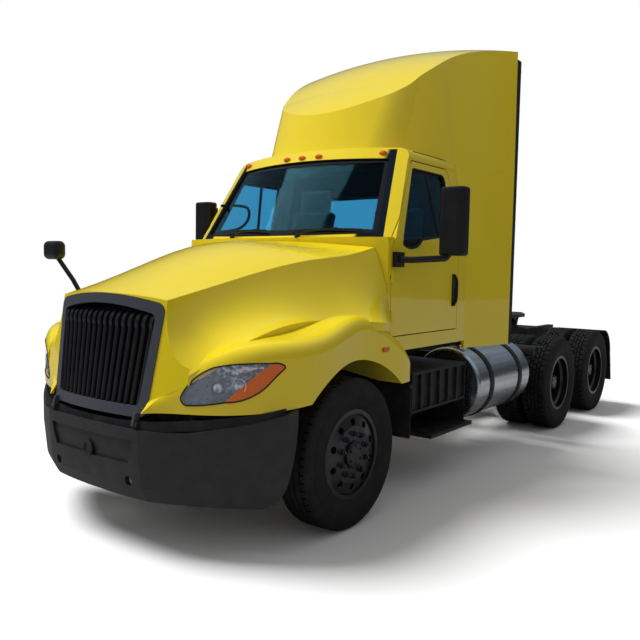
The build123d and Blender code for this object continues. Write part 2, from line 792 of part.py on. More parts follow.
def build_cab():
    outer, inner = cab_solid(0), cab_solid(cab_wall)
    wall = outer - inner
    glass_wall = cab_solid(18) - cab_solid(18 + glass)
    far = 1500
    shell = wall
    for x0, x1 in ((500, far), (-far, -500)):
        shell -= side_prism(door_outline(0), x0, x1)
    shell -= front_prism(screen_opening(0), 300, 1250)
    shell -= front_prism(rear_opening(0), cab_rear - 300, cab_rear + 100)
    notch = hinge_knuckles(gap - 1)
    lugs = hinge_lugs(0)
    shell = shell - both(notch) + both(lugs)
    truck["cab_shell"] = shell

    door = (wall & side_prism(door_outline(gap), 500, far)) - side_prism(door_window(0), 400, far)
    pin_hole = rod_z(hinge_x, hinge_y, 1000, 2100, hinge_pin + 0.5)
    door = door - hinge_lugs(gap - 1) + hinge_knuckles(0) - pin_hole
    truck["door_left"] = door
    truck["door_right"] = other_side(door)
    pane = glass_wall & side_prism(door_window(seat_gap), 500, far)
    truck["door_glass_left"] = pane
    truck["door_glass_right"] = other_side(pane)
    truck["windshield"] = glass_wall & front_prism(screen_opening(seat_gap), 300, 1250)
    truck["rear_window"] = glass_wall & front_prism(rear_opening(seat_gap), cab_rear - 200, cab_rear + 100)

    face = side_prism(
        [(300, 1560), (760, 1560), (850, 1640), (880, 1760, 830, 1880), (700, 1925, 540, 1950), (300, 1950)], -980, 980
    )
    truck["dashboard"] = cab_solid(cab_wall + seat_gap) & face
    build_seats()
    build_steering_wheel()


def build_seats():
    """Cushion on a pedestal, reclined back and headrest."""
    low = cab_floor + cab_wall + seat_gap
    profile = [
        (1240, low), (1560, low), (1570, 1560), (1640, 1600), (1715, 2050), (1735, 2390), (1700, 2420, 1655, 2400),
        (1630, 2260), (1590, 2240), (1510, 1740), (1480, 1700), (1170, 1715), (1130, 1660, 1160, 1600), (1260, 1560),
    ]
    seat = side_prism(profile, seat_x - 255, seat_x + 255)
    for x0, x1 in ((seat_x - 300, seat_x - 130), (seat_x + 130, seat_x + 300)):
        seat -= box(x0, x1, 1500, 1800, 2245, 2500)
    for x0, x1 in ((seat_x - 300, seat_x - 170), (seat_x + 170, seat_x + 300)):
        seat -= box(x0, x1, 1100, 1800, low - 1, 1560)
    truck["seats"] = both(seat)


def build_steering_wheel():
    """Rim, three spokes, hub and the shaft down to the dashboard, about one leaning axis."""
    rim = Torus(222, 15)
    hub = Cylinder(60, 50)
    spokes = None
    for turn in (90, 210, 330):
        spoke = Rot(0, 0, turn) * Pos(110, 0, 0) * Box(212, 34, 18)
        spokes = spoke if spokes is None else spokes + spoke
    shaft = Pos(0, 0, -90) * Cylinder(26, 160)
    wheel = rim + hub + spokes + shaft
    truck["steering_wheel"] = Pos(*wheel_centre) * Rot(-wheel_rake, 0, 0) * wheel
    column = Pos(*wheel_centre) * Rot(-wheel_rake, 0, 0) * (Pos(0, 0, -350 - seat_gap) * Cylinder(40, 360))
    truck["dashboard"] = truck["dashboard"] + (column & box(-980, 980, 600, 1100, 1500, 2000))


# Roof fairing and side extenders
def fairing_plan(t, front, corner_in, corner, corner_out, side, waist, flare, rear_x):
    """Half of the front's bow, the corner, the side and the flare to the rear edge, with their mirror."""
    run = [
        (corner_in[0] - 0.4 * t, corner_in[1] + t),
        (corner[0] - 0.7 * t, corner[1] + 0.7 * t, corner_out[0] - t, corner_out[1] + 0.4 * t),
        (side[0] - t, side[1], waist - t, cab_rear),
        (flare[0] - t, flare[1], rear_x - t, fairing_rear + t),
    ]
    x, y = run[0]
    left = [(-x, y), (0, front + t, x, y)] + run[1:]
    # The same arcs back along the other side, each from its end to its start
    right = []
    starts = [row[-2:] for row in run]
    for row, start in zip(reversed(run[1:]), reversed(starts[:-1])):
        right.append((-row[0], row[1], -start[0], start[1]))
    return left + [(t - rear_x, fairing_rear + t)] + right


def fairing_solid(t):
    """Walls that lean in toward their top, under a crown that falls to both sides."""
    foot = fairing_plan(t, 935, (450, 1008), (600, 1095), (700, 1270), (812, 1490), cab_roof_half - 5, (1052, 2130),
                        extender_half)
    head = fairing_plan(t, 1400, (640, 1560), (705, 1615), (745, 1705), (757, 1770), 766, (900, 2170),
                        extender_half - 10)
    low, high = fairing_seam - t, fairing_crown + 60
    walls = loft([Pos(0, 0, low) * outline(foot), Pos(0, 0, high) * outline(head)], ruled=True)
    z = crown_radius - fairing_crown
    profile = [
        (800 + t, 0), (800 + t, 2700 + z), (1110 + t, 3090 + z - t, 1400 + t, 3340 + z - t),
        (1850, 3655 + z - t, fairing_rear + t, fairing_crown + z - t), (fairing_rear + t, 0),
    ]
    turned = Pos(0, 0, -z) * Rot(0, 0, 90) * revolve(outline(profile), Axis.X, 360)
    return walls & turned


def build_fairing():
    outer = fairing_solid(0)
    shell = outer - fairing_solid(panel)
    shell -= cab_solid(-seat_gap)
    truck["roof_fairing"] = shell


def extender_section(front_x, t):
    return [
        (front_x, extender_front), (extender_half, fairing_rear), (extender_half - t, fairing_rear),
        (front_x - t, extender_front),
    ]


def build_extenders():
    top = fairing_seam - seat_gap
    sections = []
    # Height and the cab's half width there
    for z, x in ((extender_bottom, cab_half), (cab_belt, cab_half), (top, cab_roof_half - 5)):
        sections.append(Pos(0, 0, z) * outline(extender_section(x, panel)))
    plate = loft(sections, ruled=True)
    truck["side_extenders"] = both(plate)
    rubber = box(extender_half - panel + 4, extender_half - 2, fairing_rear + seat_gap, fairing_rear + rubber_depth,
                 extender_bottom, 3655)
    truck["edge_trim"] = both(rubber)


# Tanks, boxes and guards
def build_tanks():
    tank = rod_y(tank_x, tank_front, tank_rear, tank_z, tank_radius)
    tank = fillet(tank.edges().filter_by(GeomType.CIRCLE), 28)
    tank += rod_z(tank_x + 60, tank_front + 150, tank_z + tank_radius - 30, tank_z + tank_radius + 26, 55)
    truck["fuel_tanks"] = both(tank)
    straps = None
    for y in (tank_front + 260, tank_rear - 260):
        ring = rod_y(tank_x, y - 32, y + 32, tank_z, tank_radius + 9)
        face = rail_half_width + seat_gap
        bracket = side_prism([(y - 32, tank_z - tank_radius - 12), (y + 32, tank_z - tank_radius - 12),
                              (y + 32, rail_top - 40), (y - 32, rail_top - 40)], face, tank_x - 160)
        strap = ring + bracket - rod_y(tank_x, y - 100, y + 100, tank_z, tank_radius + seat_gap)
        straps = strap if straps is None else straps + strap
    truck["tank_straps"] = both(straps)


def build_side_boxes():
    face = rail_half_width + seat_gap
    body = box(face, 1090, box_front, box_rear, box_top - 320, box_top)
    body += box(face, 700, box_front, box_rear, box_bottom, box_top - 320)
    tread = box(700, 1140, box_front + 230, box_rear + 50, box_bottom, box_bottom + 30)
    tread += box(700, 1090, box_rear - 6, box_rear, box_bottom, box_top - 320)
    rib_pitch = (box_rear - box_front) / 6
    for i in range(6):
        y = box_front + rib_pitch * (i + 0.5)
        body -= box(1068, 1100, y - rib_pitch / 2 + 14, y + rib_pitch / 2 - 14, box_top - 300, box_top - 24)
    truck["battery_box"] = body + tread
    after = box(-1085, -face, box_front, box_rear, box_bottom + 40, box_top)
    after = fillet([edge for edge in after.edges().filter_by(Axis.Y) if edge.center().X < -900], 90)
    truck["exhaust_box"] = after + rod_y(-640, box_front - 260, box_front + 10, 700, 62)


def build_guards():
    face = rail_half_width + seat_gap
    flap = box(880, 1190, 690, 698, 490, 900) + rod_x(face, 1190, 694, 880, 14)
    truck["splash_flaps"] = both(flap)
    y = second_drive_axle
    sheet = side_prism(
        [(y + 340, 985), (y + 500, 905, y + 600, 690), (y + 690, 310), (y + 702, 310), (y + 612, 692),
         (y + 512, 912, y + 348, 996)],
        590, 1200,
    )
    sheet += rod_x(face, 1190, y + 470, 918, 16)
    y = first_drive_axle
    front_rows = [
        (y - 880, 880), (y - 860, 960, y - 760, 975), (y - 560, 960), (y - 560, 952), (y - 758, 966),
        (y - 850, 950, y - 870, 880),
    ]
    front = side_prism(front_rows, 560, 1200)
    front += rod_x(face, 1190, y - 700, 955, 14)
    truck["quarter_fenders"] = both(sheet) + both(front)
    truck["tail_lamps"] = both(box(330, 430, rail_rear + seat_gap, rail_rear + 30, 900, 960))
    web = rail_half_width - rail_thickness - seat_gap
    tank = rod_x(-330, 330, 5640, 870, 110) + box(-web, web, 5610, 5670, 850, 890)
    truck["air_tank"] = tank


# Fifth wheel
def build_fifth_wheel():
    base = None
    for x in (-370, 370):
        foot = box(x - 60, x + 60, kingpin_y - 260, kingpin_y + 260, rail_top + seat_gap, rail_top + 20)
        saddle_rows = [
            (kingpin_y - 150, rail_top + 18), (kingpin_y + 150, rail_top + 18), (kingpin_y + 45, pivot_z + 20),
            (kingpin_y, pivot_z + 42, kingpin_y - 45, pivot_z + 20),
        ]
        saddle = side_prism(saddle_rows, x - 18, x + 18)
        pin = rod_x(x - 55, x + 55, kingpin_y, pivot_z, pivot_pin)
        piece = foot + saddle + pin
        base = piece if base is None else base + piece
    base += box(-320, 320, kingpin_y - 200, kingpin_y - 120, rail_top + seat_gap, rail_top + 20)
    truck["fifth_wheel_base"] = base
    low = plate_top - plate_thickness
    y = kingpin_y
    plate = plan_prism(
        [
            (-300, y - 360), (0, y - 400, 300, y - 360), (400, y - 320, 455, y - 230), (455, y + 180),
            (300, y + 470), (190, y + 500), (60, y + 90), (-60, y + 90), (-190, y + 500), (-300, y + 470),
            (-455, y + 180), (-455, y - 230), (-400, y - 320, -300, y - 360),
        ],
        low,
        plate_top,
    )
    plate -= rod_z(0, y, low - 1, plate_top + 1, 62) + box(-60, 60, y, y + 95, low - 1, plate_top + 1)
    for x in (-370, 370):
        for side in (-1, 1):
            ear_x = x + side * (18 + 5 + 12)
            ear_rows = [(y - 90, low + 5), (y - 48, pivot_z), (y, pivot_z - 48, y + 48, pivot_z), (y + 90, low + 5)]
            plate += side_prism(ear_rows, ear_x - 12, ear_x + 12)
        plate -= rod_x(x - 100, x + 100, y, pivot_z, pivot_pin + pin_gap)
    jaw_top = plate_top - 12
    jaws = rod_z(0, y, jaw_top - jaw_length, jaw_top, 61.6) - rod_z(0, y, low - 100, plate_top + 1, kingpin_bore)
    lock_bar = box(-230, 230, y - 30, y + 30, low - 60, low - seat_gap)
    jaws += lock_bar - rod_z(0, y, low - 100, plate_top + 1, kingpin_bore + 20)
    truck["fifth_wheel_jaws"] = jaws
    truck["fifth_wheel_plate"] = plate


# Mirrors and headlamps
def build_mirrors():
    head = box(1235, 1445, 935, 1080, 1850, 2360)
    head = fillet(head.edges().filter_by(Axis.Z), 55)
    straight = head.edges().filter_by(GeomType.LINE)
    head = fillet(straight.filter_by(Axis.X) + straight.filter_by(Axis.Y), 20)
    arm = tube([(1080, 660, 1815), (1180, 672, 1812), (1300, 960, 1830), (1340, 1000, 1900)], 24)
    foot = box(cab_half + seat_gap, cab_half + 40, 614, 720, 1758, 1868)
    mirror_arm = head + arm + foot
    truck["door_mirror_left"] = mirror_arm
    truck["door_mirror_right"] = other_side(mirror_arm)
    stalk = tube([(-530, -905, 1500), (-600, -940, 1630), (-735, -985, 1800)], 16)
    bowl = Pos(-755, -985, 1835) * (fillet(Box(180, 90, 130).edges(), 38))
    truck["hood_mirror"] = stalk + bowl - hood_loft(-seat_gap, 0)


def build_chassis():
    truck["frame_rails"] = make_rails()
    truck["crossmembers"] = make_crossmembers()
    truck["front_axle"] = make_axle_beam()
    truck["front_springs"] = make_front_springs()
    truck["drive_axles"] = make_drive_axles()
    truck["suspension_arms"] = make_suspension_arms()
    truck["air_springs"] = make_air_springs()
    truck["driveshafts"] = make_driveshafts()
    truck["engine_block"] = make_engine()
    truck["radiator"] = make_radiator()
    mounts = []
    for y in (520, cab_rear - 120):
        mounts.append(both(rod_z(390, y, rail_top + seat_gap, cab_floor - seat_gap, 55)))
    truck["frame_brackets"] = group(mounts)


def build_wheels():
    truck["knuckle_left"] = make_knuckle()
    truck["knuckle_right"] = other_side(truck["knuckle_left"])
    truck["tie_rod"] = make_tie_rod()
    truck["tyre_front_left"] = make_tyre(front_wheel_x, 0)
    truck["tyre_front_right"] = other_side(truck["tyre_front_left"])
    truck["wheel_front_left"] = make_front_wheel()
    truck["wheel_front_right"] = other_side(truck["wheel_front_left"])
    for place, y in (("second", first_drive_axle), ("third", second_drive_axle)):
        tyres = make_tyre(rear_outer_wheel_x, y) + make_tyre(rear_outer_wheel_x - dual_spacing, y)
        truck[f"tyres_{place}_left"] = tyres
        truck[f"tyres_{place}_right"] = other_side(tyres)
        wheels = make_rear_wheels(y)
        truck[f"wheels_{place}_left"] = wheels
        truck[f"wheels_{place}_right"] = other_side(wheels)


if __name__ == "__main__":
    os.makedirs("parts", exist_ok=True)
    for step in (build_chassis, build_wheels, build_nose, make_bumper, build_cab, build_fairing, build_extenders,
                 build_tanks, build_side_boxes, build_guards, build_fifth_wheel, build_mirrors):
        step()
    boxes = [piece.bounding_box() for piece in truck.values()]
    front_axle_y = -(min(b.min.Y for b in boxes) + max(b.max.Y for b in boxes)) / 2
    print("front axle at Y", front_axle_y)
    for name, piece in truck.items():
        export_step(Pos(0, front_axle_y, 0) * piece, f"parts/{name}.step")
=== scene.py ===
import math

import bpy
from mathutils import Matrix, Vector


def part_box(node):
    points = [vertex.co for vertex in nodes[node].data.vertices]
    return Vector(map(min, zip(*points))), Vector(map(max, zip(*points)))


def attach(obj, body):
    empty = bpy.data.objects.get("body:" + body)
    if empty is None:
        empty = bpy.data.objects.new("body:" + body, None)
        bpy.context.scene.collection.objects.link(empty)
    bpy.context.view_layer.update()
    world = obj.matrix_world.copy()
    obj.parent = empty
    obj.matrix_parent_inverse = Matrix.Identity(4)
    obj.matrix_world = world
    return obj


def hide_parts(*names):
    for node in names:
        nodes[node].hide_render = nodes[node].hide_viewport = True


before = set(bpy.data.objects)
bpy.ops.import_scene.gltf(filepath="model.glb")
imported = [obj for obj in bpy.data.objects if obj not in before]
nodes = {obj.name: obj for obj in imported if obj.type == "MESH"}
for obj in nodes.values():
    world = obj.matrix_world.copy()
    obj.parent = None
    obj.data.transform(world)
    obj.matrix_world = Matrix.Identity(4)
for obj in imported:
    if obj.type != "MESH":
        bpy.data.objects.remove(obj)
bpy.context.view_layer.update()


# Yellow body panels
# The hood, fenders, cab, doors, roof fairing and side extenders are steel and moulded sheet in one
# solid yellow, under a clear coat with a slight orange peel and road dust near the lower edges.
class Value:
    """An output of a finish's node tree, with the sums that the finishes are written in."""

    def __init__(self, finish, socket):
        self.finish, self.socket = finish, socket

    def math(self, operation, *others):
        return self.finish.node("Math", {"operation": operation}, dict(enumerate((self, *others))))

    def __add__(self, other):
        return self.math("ADD", other)

    def __sub__(self, other):
        return self.math("SUBTRACT", other)

    def __rsub__(self, other):
        return self.finish.node("Math", {"operation": "SUBTRACT"}, {0: other, 1: self})

    def __mul__(self, other):
        return self.math("MULTIPLY", other)

    __radd__ = __add__

    def size(self):
        return self.math("ABSOLUTE")

    def step(self, low, high):
        """0 up to low, 1 from high on, smooth between them."""
        return self.finish.node("MapRange", {"interpolation_type": "SMOOTHSTEP"},
                                {"Value": self, "From Min": low, "From Max": high})


class Finish:
    """A material with one main shader, whose sockets are fed by numbers or by values."""

    def __init__(self, name, colour, roughness, **flat):
        self.material = bpy.data.materials.new(name)
        self.material.use_nodes = True
        self.tree = self.material.node_tree
        self.shader = self.tree.nodes["Principled BSDF"]
        self.place = self.node("TexCoord", {}, {}, "Object")
        self.feed("Base Color", colour)
        self.feed("Roughness", roughness)
        for socket, value in flat.items():
            self.feed(socket.replace("_", " "), value)

    def node(self, kind, settings, sockets, output=0):
        made = self.tree.nodes.new("ShaderNode" + ("Tex" + kind[4:] if kind.startswith("tex_") else kind))
        for name, value in settings.items():
            setattr(made, name, value)
        for name, value in sockets.items():
            self.join(made.inputs[name], value)
        return Value(self, made.outputs[output])

    def join(self, socket, value):
        if isinstance(value, Value):
            self.tree.links.new(value.socket, socket)
        elif isinstance(value, tuple) and len(value) == 3 and socket.type == "RGBA":
            socket.default_value = (*value, 1)
        else:
            socket.default_value = value

    def feed(self, socket, value):
        self.join(self.shader.inputs[socket], value)
        return self

    def axis(self, name):
        return self.node("SeparateXYZ", {}, {0: self.place}, name)

    def noise(self, scale, detail=3, stretch=(1, 1, 1)):
        spread = self.node("Mapping", {}, {"Vector": self.place, "Scale": stretch})
        return self.node("tex_Noise", {}, {"Vector": spread, "Scale": scale, "Detail": detail})

    def mix(self, share, first, second):
        made = self.tree.nodes.new("ShaderNodeMix")
        made.data_type = "RGBA"
        for place, value in ((0, share), (6, first), (7, second)):
            self.join(made.inputs[place], value)
        return Value(self, made.outputs[2])

    def bump(self, height, distance, strength=1):
        bumped = self.node("Bump", {}, {"Height": height, "Distance": distance, "Strength": strength})
        return self.feed("Normal", bumped)


def wear(finish, base, dirt, amount, scale=6, low=0.2, high=1.5):
    """Dirt over a base colour: more of it low down, in soft patches."""
    height = 1 - finish.axis("Z").step(low, high)
    patches = finish.noise(scale, 6).step(0.35, 0.75)
    return finish.mix((height * 0.75 + 0.25) * patches * amount, base, dirt)


yellow = (0.84, 0.645, 0.003)
dusty_yellow = (0.52, 0.42, 0.03)
paint_dust = 0.16
road_dust = (0.30, 0.25, 0.16)


def painted(name):
    """Solid yellow under clear coat."""
    finish = Finish(name, yellow, 0.32, Coat_Weight=0.9, Coat_Roughness=0.04, Specular_IOR_Level=0.3)
    finish.feed("Base Color", wear(finish, yellow, dusty_yellow, paint_dust))
    finish.feed("Roughness", 0.30 + finish.noise(3, 4) * 0.12)
    return finish.bump(finish.noise(55, 2), 0.0004, 0.3)


def dress(finish, *names):
    """Gives CAD nodes their finish."""
    for name in names:
        nodes[name].data.materials.clear()
        nodes[name].data.materials.append(finish.material)


dress(painted("yellow_paint"), "hood", "front_fenders", "roof_fairing", "side_extenders")

front_axle_y = sum(corner.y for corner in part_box("tyre_front_left")) / 2


def at(x, y, z):
    """A place on the truck, with y measured back from the front axle."""
    return Vector((x, front_axle_y + y, z))


# Cab and doors
# Yellow like the rest outside; inside, dark blue-grey trim and headliner are fixed to the sheet, in a
# near-black colour that is partly their own and partly painted shade for the dim inside of the cab.
# The inner faces of the CAD cab's sheet, with Y measured from the front axle
cab_half, roof_inside, floor_inside, rear_inside = 1.05, 2.690, 1.142, 1.816
# The side leans in above this height; the windscreen leans back above its foot and is bowed
side_height, side_half, side_slope = 2.0, 1.036, 0.195
screen_foot_z, screen_foot_y, screen_slope, screen_bow = 1.975, 0.425, 0.649, 0.2
sheet, pillar_width, pillar_depth, soft_edge = 0.014, 0.07, 0.10, 0.003
lining_shade_colour = (0.003, 0.010, 0.018)


def inside_cab(finish):
    """1 within the cab's sheet, by the same side, screen, rear, roof and floor that the CAD cab has."""
    x, y, z = finish.axis("X"), finish.axis("Y") - front_axle_y, finish.axis("Z")
    half = (side_half - (z - side_height) * side_slope).math("MINIMUM", cab_half)
    shade_plate = (z - screen_foot_z).math("MAXIMUM", 0.0) * screen_slope + x * x * screen_bow
    depth = y - shade_plate - screen_foot_y
    pillar = 1 - depth.step(pillar_depth, pillar_depth + 0.02)
    inside = (half - sheet - pillar * pillar_width - x.size()).step(0, soft_edge)
    for reach in (depth, rear_inside - y, roof_inside - z, z - floor_inside):
        inside = inside * reach.step(0, soft_edge)
    return inside


cab_paint = painted("cab_paint")
shaded_lining = inside_cab(cab_paint)
outside = wear(cab_paint, yellow, dusty_yellow, paint_dust)
# Inside the cab the colour is near black: the dark trim's own tone with painted shade in it.
cab_paint.feed("Base Color", cab_paint.mix(shaded_lining, outside, lining_shade_colour))
cab_paint.feed("Coat Weight", 0.9 - shaded_lining * 0.9)
cab_paint.feed("Roughness", 0.34 + shaded_lining * 0.4)
dress(cab_paint, "cab_shell", "door_left", "door_right")


# Grille frame and bumper
# Grey moulded plastic with a fine grain, satin on the grille's frame and duller on the bumper,
# which is scuffed and dusty along its lower edge.
def moulded(name, colour, roughness, dirt):
    finish = Finish(name, colour, roughness, Specular_IOR_Level=0.45)
    finish.feed("Base Color", wear(finish, colour, road_dust, dirt, 9))
    finish.feed("Roughness", roughness + finish.noise(40, 4) * 0.12)
    return finish.bump(finish.noise(700, 2), 0.0004, 0.5)


frame_grey = moulded("grille_grey", (0.055, 0.059, 0.075), 0.36, 0.05)
bumper_grey = moulded("bumper_grey", (0.024, 0.024, 0.026), 0.45, 0.05)
dress(frame_grey, "grille_frame")
dress(bumper_grey, "bumper_center", "bumper_ends")


# Black plastic and rubber
# Grille bars, mirrors, splash flaps, quarter fenders and boxes are black moulded plastic; the
# extenders' trailing edges and the air springs are rubber.
black_plastic = moulded("black_plastic", (0.008, 0.008, 0.011), 0.36, 0.05)
box_plastic = moulded("box_plastic", (0.012, 0.012, 0.014), 0.5, 0.10)
rubber = moulded("black_rubber", (0.007, 0.007, 0.008), 0.6, 0.06)
dress(black_plastic, "grille_bars", "door_mirror_left", "door_mirror_right", "hood_mirror",
      "quarter_fenders")
dress(box_plastic, "battery_box", "exhaust_box", "splash_flaps")
dress(rubber, "edge_trim", "air_springs")


# Tyres
# Moulded rubber on steel cords, 1.02 m across. The front pair has straight ribs for steering, and
# the eight at the rear have blocks parted by slanted grooves. Each is turned, then cut.
def deselect():
    if bpy.context.mode != "OBJECT":
        bpy.ops.object.mode_set(mode="OBJECT")
    bpy.ops.object.select_all(action="DESELECT")


def turned(rows, steps, closed=False):
    """A piece turned about Z at the origin: a circle extruded from row to row, (along, radius)."""
    deselect()
    along, radius = rows[0]
    bpy.ops.mesh.primitive_circle_add(vertices=steps, radius=radius, location=(0, 0, along),
                                      fill_type="NOTHING" if closed else "NGON")
    piece = bpy.context.object
    bpy.ops.object.transform_apply()
    bpy.ops.object.mode_set(mode="EDIT")
    for (a0, r0), (a1, r1) in zip(rows, rows[1:]):
        bpy.ops.mesh.extrude_region_move(TRANSFORM_OT_translate={"value": (0, 0, a1 - a0)})
        bpy.ops.transform.resize(value=(r1 / r0, r1 / r0, 1), center_override=(0, 0, a1))
    bpy.ops.mesh.select_all(action="SELECT")
    bpy.ops.mesh.remove_doubles(threshold=0.00002)
    bpy.ops.mesh.normals_make_consistent(inside=False)
    bpy.ops.object.mode_set(mode="OBJECT")
    return piece


def choose(piece, wanted):
    """Selects the faces for which wanted(face) holds, and goes into edit mode."""
    deselect()
    piece.select_set(True)
    bpy.context.view_layer.objects.active = piece
    bpy.ops.object.mode_set(mode="EDIT")
    bpy.ops.mesh.select_all(action="DESELECT")
    bpy.ops.object.mode_set(mode="OBJECT")
    for face in piece.data.polygons:
        face.select = wanted(face)
    bpy.ops.object.mode_set(mode="EDIT")


def placed(piece, centre, toward=(0, 0, 1), turn=0):
    """Carries a piece made about Z at the origin to its place, with its top toward a direction."""
    aim = Vector((0, 0, 1)).rotation_difference(Vector(toward)).to_matrix().to_4x4()
    piece.data.transform(Matrix.Translation(centre) @ aim @ Matrix.Rotation(turn, 4, "Z"))
    return piece


def copied(piece, move=(0, 0, 0), mirror=False):
    """A copy with its own mesh, moved or mirrored to the other side of the truck."""
    twin = bpy.data.objects.new(piece.name, piece.data.copy())
    bpy.context.scene.collection.objects.link(twin)
    twin.data.transform(Matrix.Translation(move))
    if mirror:
        twin.data.transform(Matrix.Diagonal((-1, 1, 1, 1)))
        twin.data.flip_normals()
    return twin


def joined(pieces):
    deselect()
    for piece in pieces:
        piece.select_set(True)
    bpy.context.view_layer.objects.active = pieces[0]
    bpy.ops.object.join()
    return bpy.context.object


def settle(piece, name, body, finish, angle=35):
    """Names a finished piece, gives it its material and puts it on its CAD body."""
    deselect()
    piece.select_set(True)
    bpy.context.view_layer.objects.active = piece
    bpy.ops.object.shade_smooth_by_angle(angle=math.radians(angle))
    piece.name = piece.data.name = name
    piece.data.materials.clear()
    piece.data.materials.append(finish.material)
    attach(piece, body)
    return piece


tyre_rubber = Finish("tyre_rubber", (0.012, 0.0115, 0.011), 0.72, Specular_IOR_Level=0.35)
tyre_rubber.feed("Base Color", tyre_rubber.mix(
    tyre_rubber.noise(11, 6).step(0.4, 0.8) * 0.4, (0.011, 0.0105, 0.010), (0.034, 0.031, 0.025)))
tyre_rubber.bump(tyre_rubber.noise(420, 3), 0.0005, 0.5)

tyre_half = 0.1425
tyre_crown = 0.5095
shoulder_radius = 0.5055
groove_depth = 0.014
cut_depth = 0.012
sides = (("left", 1), ("right", -1))
# Half of the section: distance from the middle plane and radius, from the bead to the shoulder
sidewall = ((0.1066, 0.2862), (0.1100, 0.2980), (0.1180, 0.3040), (0.1225, 0.3080), (0.1245, 0.3120),
            (0.1335, 0.3400), (0.1405, 0.3720), (0.1420, 0.3760), (0.1424, 0.3960), (0.1416, 0.4040),
            (0.1400, 0.4320), (0.1372, 0.4345), (0.1335, 0.4600), (0.1275, 0.4840), (0.1190, 0.4960))


def tyre(groove_places, groove_half, steps):
    crown = []
    for place in groove_places:
        for across, radius in ((-1, 0), (-0.7, -1), (0.7, -1), (1, 0)):
            crown.append((place + across * groove_half, tyre_crown + radius * groove_depth))
    rows = [(-a, r) for a, r in sidewall] + [(-0.106, shoulder_radius), (-0.098, tyre_crown - 0.001)]
    rows += crown + [(0.098, tyre_crown - 0.001), (0.106, shoulder_radius)]
    rows += [(a, r) for a, r in reversed(sidewall)] + [(-sidewall[0][0], sidewall[0][1] - 0.0001)]
    return turned(rows, steps, closed=True)


def cut_across(piece, pitches, parts, slant, ribs):
    """Cuts one in so many faces of each rib nearly to the grooves' depth, then slants the cuts."""
    def cut(face):
        x, y, z = face.center
        if math.hypot(x, y) < shoulder_radius - 0.0015:
            return False
        rib = next((i for i, (low, high) in enumerate(ribs) if low < z < high), None)
        if rib is None:
            return False
        turn = math.atan2(y, x) / (2 * math.pi) * pitches + (0.5 if rib % 2 else 0)
        return int((turn % 1) * parts) == 0
    choose(piece, cut)
    bpy.ops.mesh.extrude_region_shrink_fatten(TRANSFORM_OT_shrink_fatten={"value": -cut_depth})
    bpy.ops.object.mode_set(mode="OBJECT")
    tread_foot = 0.47
    for vertex in piece.data.vertices:
        x, y, z = vertex.co
        if math.hypot(x, y) > tread_foot:
            turn = slant * math.sin(abs(z) / tyre_half * math.pi)
            vertex.co = Matrix.Rotation(turn, 3, "Z") @ vertex.co
    return piece


front_tyre = cut_across(tyre((-0.072, -0.024, 0.024, 0.072), 0.0055, 240), 60, 4, 0.0,
                        ((-0.107, -0.078), (9, 10), (9, 10), (0.078, 0.107)))
drive_tyre = cut_across(tyre((-0.058, -0.020, 0.020, 0.058), 0.0050, 240), 48, 5, 0.035,
                        ((-0.107, -0.063), (-0.053, -0.025), (-0.015, 0.015), (0.025, 0.053),
                         (0.063, 0.107)))
for pattern in (front_tyre, drive_tyre):
    placed(pattern, (0, 0, 0), (1, 0, 0))


def middle(node):
    low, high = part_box(node)
    return (low + high) / 2


axle = middle("tyre_front_left")
outer_tyre_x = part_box("tyres_second_left")[1].x - tyre_half
twin_spacing = 0.330
for side, sign in sides:
    front = placed(copied(front_tyre), (sign * axle.x, axle.y, axle.z))
    settle(front, f"front_tyre_{side}", f"wheel_front_{side}", tyre_rubber, 28)
    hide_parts(f"tyre_front_{side}")
    for place in ("second", "third"):
        centre = middle(f"tyres_{place}_{side}")
        pair = []
        for back in (0, twin_spacing):
            pair.append(placed(copied(drive_tyre), (sign * (outer_tyre_x - back), centre.y, centre.z)))
        twins = settle(joined(pair), f"drive_tyres_{place}_{side}", f"wheels_{place}_{side}",
                       tyre_rubber, 28)
        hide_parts(f"tyres_{place}_{side}")
for pattern in (front_tyre, drive_tyre):
    bpy.data.objects.remove(pattern)


# Wheels
# Painted steel discs, black and a little glossy. Ten plated nuts on studs hold each one, the hub
# carries a bolted cap, and a valve with its cap stands in a hand hole.
wheel_black = (0.004, 0.004, 0.007)
wheel_paint = Finish("wheel_paint", wheel_black, 0.34, Coat_Weight=0.4, Coat_Roughness=0.15)
wheel_paint.feed("Base Color", wear(wheel_paint, wheel_black, road_dust, 0.07, 14))
wheel_paint.bump(wheel_paint.noise(60, 2), 0.0004, 0.3)
dress(wheel_paint, *[name for name in nodes if name.startswith("wheel")])
dull_plating, brake_dust = (0.12, 0.12, 0.14), (0.04, 0.03, 0.025)
plated = Finish("plated_steel", dull_plating, 0.35, Metallic=1.0)
plated.feed("Base Color", wear(plated, dull_plating, brake_dust, 0.6, 40, 0.1, 2.5))
plated.bump(plated.noise(200, 2), 0.0003, 0.4)
studs = 10
stud_circle = 0.1429
nut_across = 0.0185
valve_radius = 0.246


def nut(height):
    """A hexagon nut with a round flange and the end of its stud."""
    body = turned([(0, nut_across), (height, nut_across), (height + 0.003, nut_across * 0.8)], 6)
    flange = turned([(-0.001, 0.021), (0.004, 0.021), (0.006, 0.019)], 20)
    stud = turned([(0, 0.0105), (height + 0.012, 0.0105), (height + 0.014, 0.009)], 12)
    return joined([body, flange, stud])


def ring_of(pattern, count, radius, start=0.0):
    """Copies of a piece round Z, each with its own mesh."""
    ring = []
    for i in range(count):
        turn = start + 2 * math.pi * i / count
        ring.append(copied(pattern, (radius * math.cos(turn), radius * math.sin(turn), 0)))
    return ring


wheel_nut = nut(0.024)
cap_bolt = turned([(0, 0.0085), (0.007, 0.0085), (0.009, 0.006)], 6)
